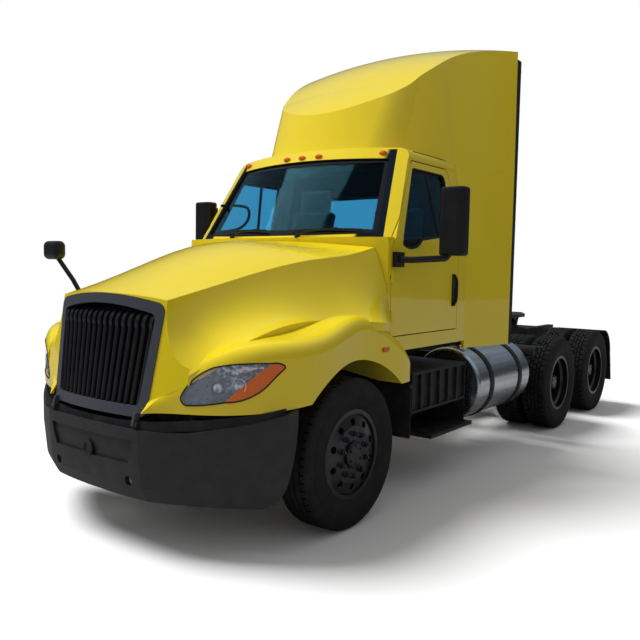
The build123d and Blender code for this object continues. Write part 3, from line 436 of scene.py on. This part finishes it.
# Wheel, how far out the nuts' face is, the hub cap's face, its bolt circle, how far in the valve is
wheel_faces = (("wheel_front", 1.161, 1.186, 0.062, 0.06), ("wheels_second", 0.918, 1.127, 0.058, 0.02),
               ("wheels_third", 0.918, 1.127, 0.058, 0.02))
for wheel, nut_face, cap_face, cap_circle, valve_back in wheel_faces:
    for side, sign in sides:
        name = f"{wheel}_{side}"
        centre = middle(name)
        nuts = joined(ring_of(wheel_nut, studs, stud_circle))
        placed(nuts, (sign * nut_face, centre.y, centre.z), (sign, 0, 0))
        settle(nuts, name + "_nuts", name, plated, 30)
        bolts = joined(ring_of(cap_bolt, 6, cap_circle))
        placed(bolts, (sign * (cap_face - 0.0005), centre.y, centre.z), (sign, 0, 0))
        settle(bolts, name + "_cap_bolts", name, plated, 30)
        valve = turned([(-0.02, 0.006), (0.018, 0.006), (0.020, 0.0075), (0.034, 0.0075),
                        (0.036, 0.005)], 14)
        low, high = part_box(name)
        rim_x = (high.x if sign > 0 else low.x) if wheel == "wheel_front" else sign * (outer_tyre_x + 0.09)
        valve_at = (rim_x - sign * valve_back, centre.y - 0.6 * valve_radius, centre.z - 0.8 * valve_radius)
        placed(valve, valve_at, (sign, 0.1, 0.2))
        settle(valve, name + "_valve", name, plated, 30)
for pattern in (wheel_nut, cap_bolt):
    bpy.data.objects.remove(pattern)


# Running gear
# Rails, crossmembers, axles, springs, arms, shafts and brackets are steel in satin black chassis
# paint under road film; the engine block is bare cast iron.
chassis_black, bare_iron, rust = (0.010, 0.010, 0.012), (0.045, 0.046, 0.05), (0.05, 0.035, 0.025)
chassis_paint = Finish("chassis_paint", chassis_black, 0.42)
chassis_paint.feed("Base Color", wear(chassis_paint, chassis_black, road_dust, 0.14, 8))
chassis_paint.feed("Roughness", 0.38 + chassis_paint.noise(14, 5) * 0.3)
chassis_paint.bump(chassis_paint.noise(90, 4), 0.0008, 0.4)
cast_iron = Finish("cast_iron", bare_iron, 0.6, Metallic=0.3)
cast_iron.feed("Base Color", wear(cast_iron, bare_iron, rust, 0.7, 12, 0.2, 3))
cast_iron.bump(cast_iron.noise(160, 5), 0.002, 0.6)
dress(chassis_paint, "frame_rails", "crossmembers", "frame_brackets", "front_axle", "knuckle_left",
      "knuckle_right", "tie_rod", "front_springs", "drive_axles", "suspension_arms", "driveshafts",
      "fifth_wheel_base", "air_tank", "radiator", "tank_straps")
dress(cast_iron, "engine_block")

rail_outer, rail_top = 0.432, 1.010
bolt = turned([(-0.001, 0.016), (0.003, 0.016), (0.0035, 0.0125), (0.014, 0.0125), (0.016, 0.010)], 6)
rail_bolts = []
# Bolt groups on each rail's outer web: where they start, how many, their pitch
for start, count, pitch in ((-0.55, 2, 0.10), (0.58, 3, 0.07), (2.02, 3, 0.08), (3.22, 3, 0.08),
                            (3.36, 4, 0.07), (4.30, 3, 0.09), (4.68, 4, 0.07), (5.72, 2, 0.09)):
    for i in range(count):
        for z in (rail_top - 0.065, rail_top - 0.205):
            rail_bolts.append(placed(copied(bolt), at(rail_outer, start + i * pitch, z), (1, 0, 0)))
bpy.data.objects.remove(bolt)
left_bolts = joined(rail_bolts)
settle(joined([left_bolts, copied(left_bolts, mirror=True)]), "rail_bolts", "chassis", chassis_paint,
       30)


# Fifth wheel
# A cast steel plate on a greased top face, with its locking jaws, tilting on the saddle's pins.
greased = Finish("greased_steel", (0.055, 0.052, 0.05), 0.3, Metallic=0.8)
worn_steel, grease = (0.10, 0.095, 0.09), (0.012, 0.011, 0.010)
greased.feed("Base Color", greased.mix(greased.noise(7, 6).step(0.4, 0.62), worn_steel, grease))
greased.feed("Roughness", 0.2 + greased.noise(24, 5) * 0.4)
greased.bump(greased.noise(30, 5), 0.002, 0.5)
dress(greased, "fifth_wheel_plate", "fifth_wheel_jaws")


# Fuel tanks
# Polished aluminium drums with welded ends, hung in black straps. The polish runs along the drum in
# fine streaks, and darker streaks painted into the metal's colour along the drum are painted reflections.
tank_metal = Finish("polished_tank", (0.80, 0.82, 0.86), 0.20, Metallic=1.0)
polish_and_reflection_streaks = tank_metal.noise(30, 4, (1.2, 0.04, 1.2))
# The darker colour, the metal's own dimmed to 0.72, paints reflection streaks along the drum; the roughness
# streaks are the polish.
tank_metal.feed("Base Color", tank_metal.mix(polish_and_reflection_streaks.step(0.3, 0.8), (0.80, 0.82, 0.86),
                                             (0.576, 0.5904, 0.6192)))
tank_metal.feed("Roughness", 0.20 + polish_and_reflection_streaks * 0.12)
tank_metal.bump(tank_metal.noise(60, 3, (1, 0.2, 1)), 0.0008, 0.4)
dress(tank_metal, "fuel_tanks")


# Bumper strip, painted-shade grille plate and door handles
# A rubber strip closes the gap over the bumper, with an apron behind it, and a solid black plastic plate
# behind the grille's bars stands for a stone screen and paints the shade in the opening there. A round
# sensor sits in the bumper. Each door has a black plastic pull over a sunk cup.
def block(size, bevel, cut=None):
    """A block at the origin with rounded edges; cut(face) names the faces that are sunk into it."""
    deselect()
    bpy.ops.mesh.primitive_cube_add(size=1)
    piece = bpy.context.object
    bpy.ops.object.mode_set(mode="EDIT")
    bpy.ops.transform.resize(value=size, center_override=(0, 0, 0))
    if cut:
        choose(piece, cut)
        thin = min(size)
        bpy.ops.mesh.inset(thickness=thin * 0.25)
        bpy.ops.mesh.extrude_region_shrink_fatten(TRANSFORM_OT_shrink_fatten={"value": -thin * 0.35})
    bpy.ops.object.mode_set(mode="OBJECT")
    rounding = piece.modifiers.new("rounding", "BEVEL")
    rounding.width, rounding.segments, rounding.limit_method = bevel, 3, "ANGLE"
    bpy.ops.object.modifier_apply(modifier="rounding")
    return piece


def pipe(points, radius):
    """A round bar along points, bent smoothly at each."""
    deselect()
    bpy.ops.curve.primitive_nurbs_path_add()
    path = bpy.context.object
    path.data.splines.clear()
    run = path.data.splines.new("NURBS")
    run.points.add(len(points) - 1)
    for spot, point in zip(run.points, points):
        spot.co = (*point, 1)
    run.order_u, run.use_endpoint_u = 3, True
    path.data.bevel_depth, path.data.bevel_resolution, path.data.use_fill_caps = radius, 3, True
    path.data.resolution_u = 6
    bpy.ops.object.convert(target="MESH")
    return bpy.context.object


def ribbon(points, rise, thick, bevel):
    """A strip of sheet standing on points, extruded from one to the next, thickened and rounded."""
    same_place = 1e-4
    deselect()
    bpy.ops.mesh.primitive_plane_add(size=1)
    piece = bpy.context.object
    starts = (points[0], points[1], points[0] + rise, points[1] + rise)
    for vertex, place in zip(piece.data.vertices, starts):
        vertex.co = place
    for before, here in zip(points[1:], points[2:]):
        bpy.ops.object.mode_set(mode="EDIT")
        bpy.ops.mesh.select_mode(type="VERT")
        bpy.ops.mesh.select_all(action="DESELECT")
        bpy.ops.object.mode_set(mode="OBJECT")
        for vertex in piece.data.vertices:
            off = vertex.co - before
            vertex.select = off.length < same_place or (off - rise).length < same_place
        bpy.ops.object.mode_set(mode="EDIT")
        bpy.ops.mesh.extrude_region_move(TRANSFORM_OT_translate={"value": here - before})
    bpy.ops.mesh.select_mode(type="FACE")
    bpy.ops.mesh.select_all(action="SELECT")
    bpy.ops.mesh.normals_make_consistent(inside=False)
    bpy.ops.object.mode_set(mode="OBJECT")
    sheet = piece.modifiers.new("sheet", "SOLIDIFY")
    sheet.thickness, sheet.offset = thick, 0
    bpy.ops.object.modifier_apply(modifier="sheet")
    rounding = piece.modifiers.new("rounding", "BEVEL")
    rounding.width, rounding.segments, rounding.limit_method = bevel, 2, "ANGLE"
    bpy.ops.object.modifier_apply(modifier="rounding")
    return piece


# X, Y and foot height of the strip and of the apron, from the middle outward
strip_run = [at(*place) for place in (
    (-0.02, -1.212, 0.745), (0.24, -1.206, 0.748), (0.464, -1.188, 0.760), (0.60, -1.148, 0.772),
    (0.80, -1.036, 0.792), (0.95, -0.940, 0.815), (1.05, -0.868, 0.832), (1.12, -0.792, 0.848),
    (1.158, -0.700, 0.862))]
apron_run = [at(x, y, 0.70) for x, y in (
    (-0.02, -1.09), (0.20, -1.085), (0.40, -1.07), (0.54, -1.03), (0.66, -0.98))]
strip = ribbon(strip_run, Vector((0, 0.012, 0.062)), 0.014, 0.004)
apron = ribbon(apron_run, Vector((0, 0.01, 0.12)), 0.006, 0.002)
settle(joined([strip, copied(strip, mirror=True), apron, copied(apron, mirror=True)]),
       "bumper_top_strip", "chassis", rubber)
# A solid black plate behind the grille's bars: painted shade for the dark opening behind them.
shade_plate_height = 0.64
shade_plate_drop = -0.08
shade_plate = block((0.88, 0.004, shade_plate_height), 0.001)
leaning = Matrix.Rotation(math.atan2(shade_plate_drop, shade_plate_height), 4, "X")
shade_plate.data.transform(Matrix.Translation((0, -3.400, 1.18)) @ leaning)
settle(shade_plate, "grille_shade_plate", "hood", black_plastic)
sensor = turned([(-0.02, 0.052), (0.004, 0.052), (0.010, 0.047), (0.010, 0.034), (0.004, 0.030)], 48)
placed(sensor, at(0, -1.232, 0.598), (0, -1, 0))
settle(sensor, "bumper_sensor", "chassis", black_plastic)

cup = block((0.012, 0.058, 0.270), 0.005, lambda face: face.normal.x > 0.9)
cup.data.transform(Matrix.Translation((1.053, 0, 0)))
pull = pipe([Vector((x, 0, z)) for x, z in (
    (1.055, -0.118), (1.082, -0.108), (1.084, 0), (1.082, 0.108), (1.055, 0.118))], 0.011)
handle = joined([cup, pull])
handle.data.transform(Matrix.Translation(at(0, 1.600, 1.575)))
for side, piece in (("left", handle), ("right", copied(handle, mirror=True))):
    settle(piece, f"door_handle_{side}", f"door_{side}", black_plastic)


# Edge seals
# Black rubber is pressed round the door windows and the windscreen, and a black plastic rim round the
# headlamps; each strip follows the outline of the CAD piece that it seals.
def edging(node, wanted, radius, lift=(0, 0, 0)):
    """A round bead along the border of a CAD node's chosen faces."""
    source = nodes[node]
    bead = bpy.data.objects.new(node + "_bead", source.data.copy())
    bpy.context.scene.collection.objects.link(bead)
    choose(bead, lambda face: True)
    bpy.ops.mesh.remove_doubles(threshold=0.0002)
    choose(bead, wanted)
    bpy.ops.mesh.region_to_loop()
    bpy.ops.mesh.separate(type="SELECTED")
    bpy.ops.object.mode_set(mode="OBJECT")
    strip = next(piece for piece in bpy.context.selected_objects if piece is not bead)
    bpy.data.objects.remove(bead)
    deselect()
    strip.select_set(True)
    bpy.context.view_layer.objects.active = strip
    bpy.ops.object.convert(target="CURVE")
    strip.data.bevel_depth = radius
    strip.data.bevel_resolution = 3
    bpy.ops.object.convert(target="MESH")
    strip.data.transform(Matrix.Translation(lift))
    return strip


for side, sign in sides:
    seal = edging(f"door_glass_{side}", lambda face: face.normal.x * sign > 0.7, 0.013,
                  (sign * 0.008, 0, 0))
    settle(seal, f"door_window_seal_{side}", f"door_{side}", rubber)
screen_seal = edging("windshield", lambda face: face.normal.y < -0.6, 0.011, (0, -0.006, 0.003))
settle(screen_seal, "windscreen_seal", "chassis", rubber)
lamp_rim = edging("headlamps", lambda face: face.normal.y < -0.15, 0.0045)
settle(lamp_rim, "headlamp_rims", "hood", black_plastic)


# Glass
# Laminated glass with a blue-green tint, bonded behind a black printed border. The door window has
# a slanted division and drops lower at its front, for the near mirror.
def surface(finish, shader):
    """Puts a shader in the place of the main one."""
    finish.tree.links.new(shader.socket, finish.tree.nodes["Material Output"].inputs["Surface"])


def tinted(name, edge):
    """Glass whose border is painted where edge, a value, is 1."""
    finish = Finish(name, (0.20, 0.52, 0.66), 0.0, Transmission_Weight=1.0, IOR=1.12)
    border = finish.node("BsdfPrincipled", {}, {"Base Color": (0.004, 0.004, 0.005), "Roughness": 0.12})
    clear = Value(finish, finish.shader.outputs[0])
    surface(finish, finish.node("MixShader", {}, {0: edge(finish), 1: clear, 2: border}))
    return finish


screen_low, screen_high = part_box("windshield")
border_width = 0.05


def screen_edge(finish):
    """1 within a hand's breadth of the windscreen's edge."""
    height = finish.axis("Z")
    half = 0.905 - (height - 2.0) * 0.19
    side = (finish.axis("X").size() - half + border_width).step(0, 0.006)
    top = (height - (screen_high.z - border_width)).step(0, 0.01)
    foot = ((screen_low.z + 0.055) - height).step(0, 0.01)
    return side.math("MAXIMUM", top).math("MAXIMUM", foot)


def door_edge(finish):
    """1 along the door window's border, on its slanted division and in its lower front corner."""
    y, z = finish.axis("Y") - front_axle_y, finish.axis("Z")
    front = ((y - 0.765) * 0.895 - (z - 1.93) * 0.447 - 0.030).step(0, 0.004)
    rear = (1.572 - y).step(0, 0.004)
    top = (2.512 - z).step(0, 0.004)
    foot = (z - 1.955 - (y - 0.765) * 0.10).step(0, 0.004)
    division = ((y - 1.335 - (2.5 - z) * 0.11).size() - 0.014).step(0, 0.003)
    return 1 - front * rear * top * foot * division


def rear_edge(finish):
    x, z = finish.axis("X"), finish.axis("Z")
    return 1 - (0.50 - x.size()).step(0, 0.004) * (z - 1.95).step(0, 0.004) * (2.40 - z).step(0, 0.004)


dress(tinted("windscreen_glass", screen_edge), "windshield")
dress(tinted("door_glass", door_edge), "door_glass_left", "door_glass_right")
dress(tinted("rear_glass", rear_edge), "rear_window")


# Inside the cab
# The dashboard is grey vinyl, the seats are cloth over foam, and the wheel is dark leather.
vinyl = moulded("dash_vinyl", (0.16, 0.18, 0.18), 0.55, 0.05)
leather = moulded("wheel_leather", (0.012, 0.012, 0.013), 0.45, 0.05)
seat_cloth = Finish("seat_cloth", (0.02, 0.035, 0.055), 0.85, Sheen_Weight=0.3)
weave = seat_cloth.node("tex_Voronoi", {}, {"Vector": seat_cloth.place, "Scale": 260.0})
seat_cloth.feed("Base Color", seat_cloth.mix(weave, (0.030, 0.048, 0.070), (0.012, 0.020, 0.032)))
seat_cloth.bump(weave, 0.0012, 0.6)
dress(vinyl, "dashboard")
dress(leather, "steering_wheel")


voxel = 0.010
cloth_pressure = 4
last_frame = 20
most_stretch = 0.022


def stuffed(size, centre, lean):
    """A foam block under cloth: rounded, remeshed evenly and blown up a little by a simulation."""
    piece = block(size, min(size) * 0.3)
    choose(piece, lambda face: True)
    bpy.ops.mesh.subdivide(number_cuts=2)
    bpy.ops.object.mode_set(mode="OBJECT")
    piece.data.remesh_voxel_size = voxel
    bpy.ops.object.voxel_remesh()
    rest = [vertex.co.copy() for vertex in piece.data.vertices]
    cloth = piece.modifiers.new("cloth", "CLOTH")
    cloth.settings.use_pressure = True
    cloth.settings.uniform_pressure_force = cloth_pressure
    cloth.settings.effector_weights.gravity = 0
    cloth.point_cache.frame_start, cloth.point_cache.frame_end = 1, last_frame
    for moment in range(1, last_frame + 1):
        bpy.context.scene.frame_set(moment)
    bpy.ops.object.modifier_apply(modifier="cloth")
    bpy.context.scene.frame_set(1)
    for vertex, was in zip(piece.data.vertices, rest):
        move = vertex.co - was
        if move.length > most_stretch:
            vertex.co = was + move * (most_stretch / move.length)
    piece.data.transform(Matrix.Translation(centre) @ Matrix.Rotation(math.radians(lean), 4, "X"))
    return piece


seat_plastic = moulded("seat_plastic", (0.012, 0.012, 0.014), 0.5, 0.05)
# Size, place, lean and name of a seat's three cushions
cushions = (
    ((0.50, 0.43, 0.13), (0.48, 1.36, 1.635), 4, "seat_cushion"),
    ((0.49, 0.12, 0.64), (0.48, 1.590, 1.975), -8, "seat_back"),
    ((0.34, 0.100, 0.22), (0.48, 1.655, 2.375), -6, "seat_headrest"),
)
for size, (x, y, z), lean, name in cushions:
    cushion = stuffed(size, at(x, y, z), lean)
    for side, piece in (("left", cushion), ("right", copied(cushion, mirror=True))):
        settle(piece, f"{name}_{side}", "chassis", seat_cloth, 60)
        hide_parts("seats")
stands = []
for y, z, size in ((1.405, 1.37, (0.32, 0.29, 0.37)), (1.38, 1.555, (0.36, 0.36, 0.03))):
    stand = block(size, 0.012)
    stand.data.transform(Matrix.Translation(at(0.48, y, z)))
    stands += [stand, copied(stand, mirror=True)]
for x in (0.42, 0.54):
    post = pipe([at(x, 1.650, 2.22), at(x, 1.665, 2.30)], 0.007)
    stands += [post, copied(post, mirror=True)]
seat_stands = settle(joined(stands), "seat_stands", "chassis", seat_plastic)
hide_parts("seats")


# Headlamps
# A clear moulded lens over a plated housing with two round projectors and an upper bank of facets;
# the strip along its outer edge is amber. The lens sits in a thin black rim.
def amber_share(finish):
    """1 on the strip outside a line that rises from the lens's foot to its outer tip."""
    x, z = finish.axis("X").size(), finish.axis("Z")
    return (x - 0.935 - (z - 0.975) * 0.86).step(0, 0.003)


clear_lens = Finish("clear_lens", (0.75, 0.80, 0.88), 0.04, Coat_Weight=0.5, Coat_Roughness=0.03)
amber_here = amber_share(clear_lens)
ribs = (clear_lens.axis("Z") * 420.0).math("SINE")
clear_lens.feed("Base Color", clear_lens.mix(amber_here, (0.72, 0.78, 0.90), (0.85, 0.16, 0.008)))
clear_lens.feed("Alpha", 0.16 + amber_here * 0.80)
clear_lens.bump(ribs * amber_here, 0.0015, 0.6)
dress(clear_lens, "headlamps")
plating = Finish("lamp_plating", (0.70, 0.74, 0.86), 0.12, Metallic=1.0)
facets = plating.node("tex_Voronoi", {}, {"Vector": plating.place, "Scale": 26.0})
bank = (plating.axis("X").size() - 0.93 + (plating.axis("Z") - 1.08) * 0.6).step(-0.12, 0.05)
plating.feed("Base Color", plating.mix(bank, (0.10, 0.12, 0.20), plating.mix(
    facets.step(0.1, 0.55), (0.30, 0.36, 0.62), (0.95, 0.97, 1.0))))
plating.bump(facets, 0.02, 0.8)

housing = bpy.data.objects.new("lamp_housing", nodes["headlamps"].data.copy())
bpy.context.scene.collection.objects.link(housing)
choose(housing, lambda face: True)
bpy.ops.mesh.remove_doubles(threshold=0.0002)
choose(housing, lambda face: face.normal.y > -0.15)
bpy.ops.mesh.delete(type="FACE")
choose(housing, lambda face: True)
bpy.ops.mesh.subdivide(number_cuts=1)
bpy.ops.object.mode_set(mode="OBJECT")
lamp_x, lamp_z, lamp_half_width, lamp_half_height = 0.93, 1.06, 0.26, 0.16
for vertex in housing.data.vertices:
    x, y, z = vertex.co
    # Drawn back from the lens, deepest at its middle
    off_x, off_z = (abs(x) - lamp_x) / lamp_half_width, (z - lamp_z) / lamp_half_height
    middle_share = max(0.0, 1 - off_x ** 2 - off_z ** 2)
    vertex.co = (x - math.copysign(0.012 + 0.02 * middle_share, x), y + 0.030 + 0.05 * middle_share, z)
settle(housing, "lamp_housings", "hood", plating, 20)

projector_glass = Finish("projector_glass", (0.30, 0.36, 0.55), 0.02, Coat_Weight=1.0)
projector_glass.feed("Base Color", projector_glass.mix(projector_glass.noise(30, 2).step(0.3, 0.7),
                                                       (0.10, 0.12, 0.22), (0.75, 0.80, 0.92)))
projector_glass.bump(projector_glass.noise(50, 1), 0.001, 0.3)
rings, eyes = [], []
# Where the projectors stand, and their radius
for x, y, z, radius in ((0.885, -0.972, 1.045, 0.040), (0.985, -0.902, 1.060, 0.044)):
    ring = turned([(-0.03, radius * 0.9), (0.0, radius), (0.006, radius), (0.008, radius * 0.93),
                   (0.002, radius * 0.84), (-0.02, radius * 0.80)], 40)
    eye = turned([(-0.012, radius * 0.82), (0.002, radius * 0.74), (0.010, radius * 0.5),
                  (0.013, radius * 0.16)], 40)
    for piece, group in ((ring, rings), (eye, eyes)):
        placed(piece, at(x, y, z), (0.42, -0.90, 0.0))
        group += [piece, copied(piece, mirror=True)]
settle(joined(rings), "projector_rings", "hood", plating, 30)
settle(joined(eyes), "projector_eyes", "hood", projector_glass, 40)


# Tail lamps and markers
# Red moulded lenses at the rear, five amber ones on the header over the windscreen and one at the
# rear of each fender, with fine ribs inside.
def ribbed_lens(name, colour):
    finish = Finish(name, colour, 0.12, Coat_Weight=0.6)
    dimmer = tuple(0.6 * c for c in colour)
    finish.feed("Base Color", finish.mix(finish.noise(90, 2).step(0.3, 0.7), colour, dimmer))
    return finish.bump(finish.node("tex_Wave", {}, {"Vector": finish.place, "Scale": 60.0}), 0.001, 0.4)


red_lens = ribbed_lens("red_lens", (0.35, 0.006, 0.006))
amber_lens = ribbed_lens("amber_lens", (0.90, 0.14, 0.01))
dress(red_lens, "tail_lamps")


def screen_at(x, z, out=0.0):
    """A place on the cab's sheet beside the windscreen, so far out of it."""
    lean, bow_radius, foot_y = math.radians(33), 2.1, 0.400
    drop = bow_radius - math.sqrt(bow_radius ** 2 - x * x)
    y = foot_y + drop + (z - screen_foot_z) * math.tan(lean)
    return at(x, y - out * math.cos(lean), z + out * math.sin(lean))


marker_z = 2.655
markers = []
for x in (-0.72, -0.17, 0.0, 0.17, 0.72):
    lens = turned([(0, 0.024), (0.006, 0.024), (0.016, 0.019), (0.020, 0.010)], 28)
    lens.data.transform(Matrix.Diagonal((1.5, 0.85, 1, 1)))
    markers.append(placed(lens, screen_at(x, marker_z), (0.0, -0.839, 0.545)))
settle(joined(markers), "roof_markers", "chassis", amber_lens, 50)
lens = block((0.022, 0.075, 0.030), 0.008)
lens.data.transform(Matrix.Translation(at(1.186, 0.34, 1.185)))
settle(joined([lens, copied(lens, mirror=True)]), "fender_markers", "hood", amber_lens, 50)


# Mirrors, wipers and hand hold
# Silvered glass is let into the back of each mirror head, a small pane under a tall one. Two wipers
# rest on the windscreen's foot, and a padded bar is screwed to the right front pillar inside.
silver = Finish("silvered_glass", (0.80, 0.82, 0.85), 0.03, Metallic=1.0)
silver.bump(silver.noise(6, 1), 0.0005, 0.1)
for side, sign in sides:
    panes = []
    for low, high in ((1.90, 2.07), (2.085, 2.31)):
        pane = block((0.165, 0.006, high - low), 0.0025, lambda face: face.normal.y > 0.9)
        pane.data.transform(Matrix.Translation(at(sign * 1.340, 1.0835, (low + high) / 2)))
        panes.append(pane)
    settle(joined(panes), f"mirror_glass_{side}", f"door_{side}", silver)

wiper_parts = []
pivot_z, rest_z, blade_z = 1.985, 2.035, 2.030
# X of a wiper's pivot, of the arm's tip and of the blade's two ends
for pivot, tip, blade_low, blade_high in ((0.30, 0.62, 0.22, 0.80), (-0.42, -0.10, -0.60, -0.02)):
    arm = pipe([screen_at(pivot, pivot_z, 0.012), screen_at(pivot + 0.03, pivot_z + 0.015, 0.035),
                screen_at(tip, rest_z, 0.020)], 0.0065)
    hub = turned([(-0.02, 0.022), (0.012, 0.022), (0.020, 0.014)], 24)
    placed(hub, screen_at(pivot, pivot_z), (0, -0.84, 0.54))
    blade = pipe([screen_at(blade_low, blade_z, 0.008),
                  screen_at((blade_low + blade_high) / 2, blade_z + 0.012, 0.008),
                  screen_at(blade_high, blade_z, 0.008)], 0.007)
    wiper_parts += [arm, hub, blade]
settle(joined(wiper_parts), "wipers", "chassis", black_plastic)
hold = pipe([at(*place) for place in (
    (-0.90, 0.74, 2.05), (-0.80, 0.86, 2.06), (-0.77, 0.99, 2.14), (-0.77, 1.03, 2.25),
    (-0.78, 0.97, 2.31), (-0.88, 0.76, 2.29))], 0.013)
settle(hold, "pillar_handles", "chassis", leather)


# Step ribs and filler caps
# Raised plastic bars run across the step under the battery box. Each tank's filler has a round
# black cap with a grip across it, screwed on at the front of the drum's top.
ribs = []
for i in range(7):
    rib = block((0.40, 0.012, 0.010), 0.003)
    rib.data.transform(Matrix.Translation(at(0.91, 1.17 + i * 0.10, 0.434)))
    ribs.append(rib)
settle(joined(ribs), "step_ribs", "chassis", box_plastic)
caps = []
tank_low, tank_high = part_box("fuel_tanks")
for sign in (1, -1):
    filler = Vector((sign * 0.93, tank_low.y + 0.15, tank_high.z))
    cap = turned([(-0.004, 0.062), (0.010, 0.062), (0.014, 0.058), (0.014, 0.040), (0.030, 0.036),
                  (0.034, 0.030)], 36)
    grip = block((0.062, 0.012, 0.018), 0.004)
    caps += [placed(cap, filler + Vector((0, 0, 0.001))), placed(grip, filler + Vector((0, 0, 0.042)))]
settle(joined(caps), "filler_caps", "chassis", black_plastic)


# Stage
# A pale floor under even sky light, with one broad soft lamp high over the truck's right side.
world = bpy.data.worlds.new("studio")
bpy.context.scene.world = world
world.use_nodes = True
sky = world.node_tree
background = sky.nodes["Background"]


def sky_node(kind, settings, sockets):
    made = sky.nodes.new(kind)
    for name, value in settings.items():
        setattr(made, name, value)
    for socket, value in sockets.items():
        if hasattr(value, "node"):
            sky.links.new(value, made.inputs[socket])
        else:
            made.inputs[socket].default_value = value
    return made


rays = sky_node("ShaderNodeLightPath", {}, {})
plain = sky_node("ShaderNodeMath", {"operation": "MAXIMUM"}, {
    0: rays.outputs["Is Camera Ray"], 1: rays.outputs["Is Transmission Ray"]})
direction = sky_node("ShaderNodeTexCoord", {}, {})
height = sky_node("ShaderNodeSeparateXYZ", {}, {0: direction.outputs["Generated"]})
# What coat and metal mirror: dim round the horizon, pale blue above
mirrored = sky_node("ShaderNodeMapRange", {"interpolation_type": "SMOOTHSTEP"}, {
    "Value": height.outputs["Z"], "From Min": 0.05, "From Max": 0.75, "To Min": 0.03, "To Max": 0.42})
diffuse_light = 0.40
lit = sky_node("ShaderNodeMix", {}, {
    0: rays.outputs["Is Glossy Ray"], 2: diffuse_light, 3: mirrored.outputs[0]})
level = sky_node("ShaderNodeMix", {}, {0: plain.outputs[0], 2: lit.outputs[0], 3: 1.0})
tint = sky_node("ShaderNodeMix", {"data_type": "RGBA"}, {
    0: rays.outputs["Is Glossy Ray"], 6: (1, 1, 1, 1), 7: (0.72, 0.86, 1.0, 1)})
sky.links.new(level.outputs[0], background.inputs["Strength"])
sky.links.new(tint.outputs[2], background.inputs["Color"])

deselect()
bpy.ops.mesh.primitive_plane_add(size=60, location=(0, 0, 0))
floor = bpy.context.object
floor.name = "floor"
floor_paint = Finish("floor_paint", (0.90, 0.90, 0.90), 0.9, Specular_IOR_Level=0.1)
white = floor_paint.node("Emission", {}, {"Color": (1, 1, 1), "Strength": 1.0})
dark = floor_paint.node("BsdfDiffuse", {}, {"Color": (0.26, 0.26, 0.26)})
x, y = floor_paint.axis("X"), floor_paint.axis("Y")
fade_from, fade_to = 4.2, 7.5
far = (x * x + y * y).math("SQRT").step(fade_from, fade_to)
camera_ray = floor_paint.node("LightPath", {}, {}, "Is Camera Ray")
shown = Value(floor_paint, floor_paint.shader.outputs[0])
pale = floor_paint.node("MixShader", {}, {0: far, 1: shown, 2: white})
surface(floor_paint, floor_paint.node("MixShader", {}, {0: camera_ray, 1: dark, 2: pale}))
floor.data.materials.append(floor_paint.material)

sun = bpy.data.lights.new("sun", "SUN")
sun.energy = 3.7
sun.angle = math.radians(30)
lamp = bpy.data.objects.new("sun", sun)
lamp.rotation_mode = "QUATERNION"
lamp.rotation_quaternion = Vector((-0.50, -0.22, 0.84)).to_track_quat("Z", "Y")
lamp.visible_glossy = False
bpy.context.scene.collection.objects.link(lamp)

yaw, pitch, roll = (math.radians(angle) for angle in (37.576, -4.322, 1.007))
ahead = Vector((-math.sin(yaw), math.cos(yaw), 0))
across = Vector((math.cos(yaw), math.sin(yaw), 0))
up = Vector((0, 0, 1))
look = ahead * math.cos(pitch) + up * math.sin(pitch)
level_up = up * math.cos(pitch) - ahead * math.sin(pitch)
right = across * math.cos(roll) + level_up * math.sin(roll)
top = level_up * math.cos(roll) - across * math.sin(roll)
optics = bpy.data.cameras.new("camera")
optics.sensor_width = 36
optics.lens = 39.04
camera = bpy.data.objects.new("camera", optics)
turn = Matrix((right, top, -look)).transposed().to_4x4()
camera.matrix_world = Matrix.Translation(at(3.7412, -3.7383, 1.7452)) @ turn
bpy.context.scene.collection.objects.link(camera)
bpy.context.scene.camera = camera
bpy.context.scene.view_settings.view_transform = "Standard"
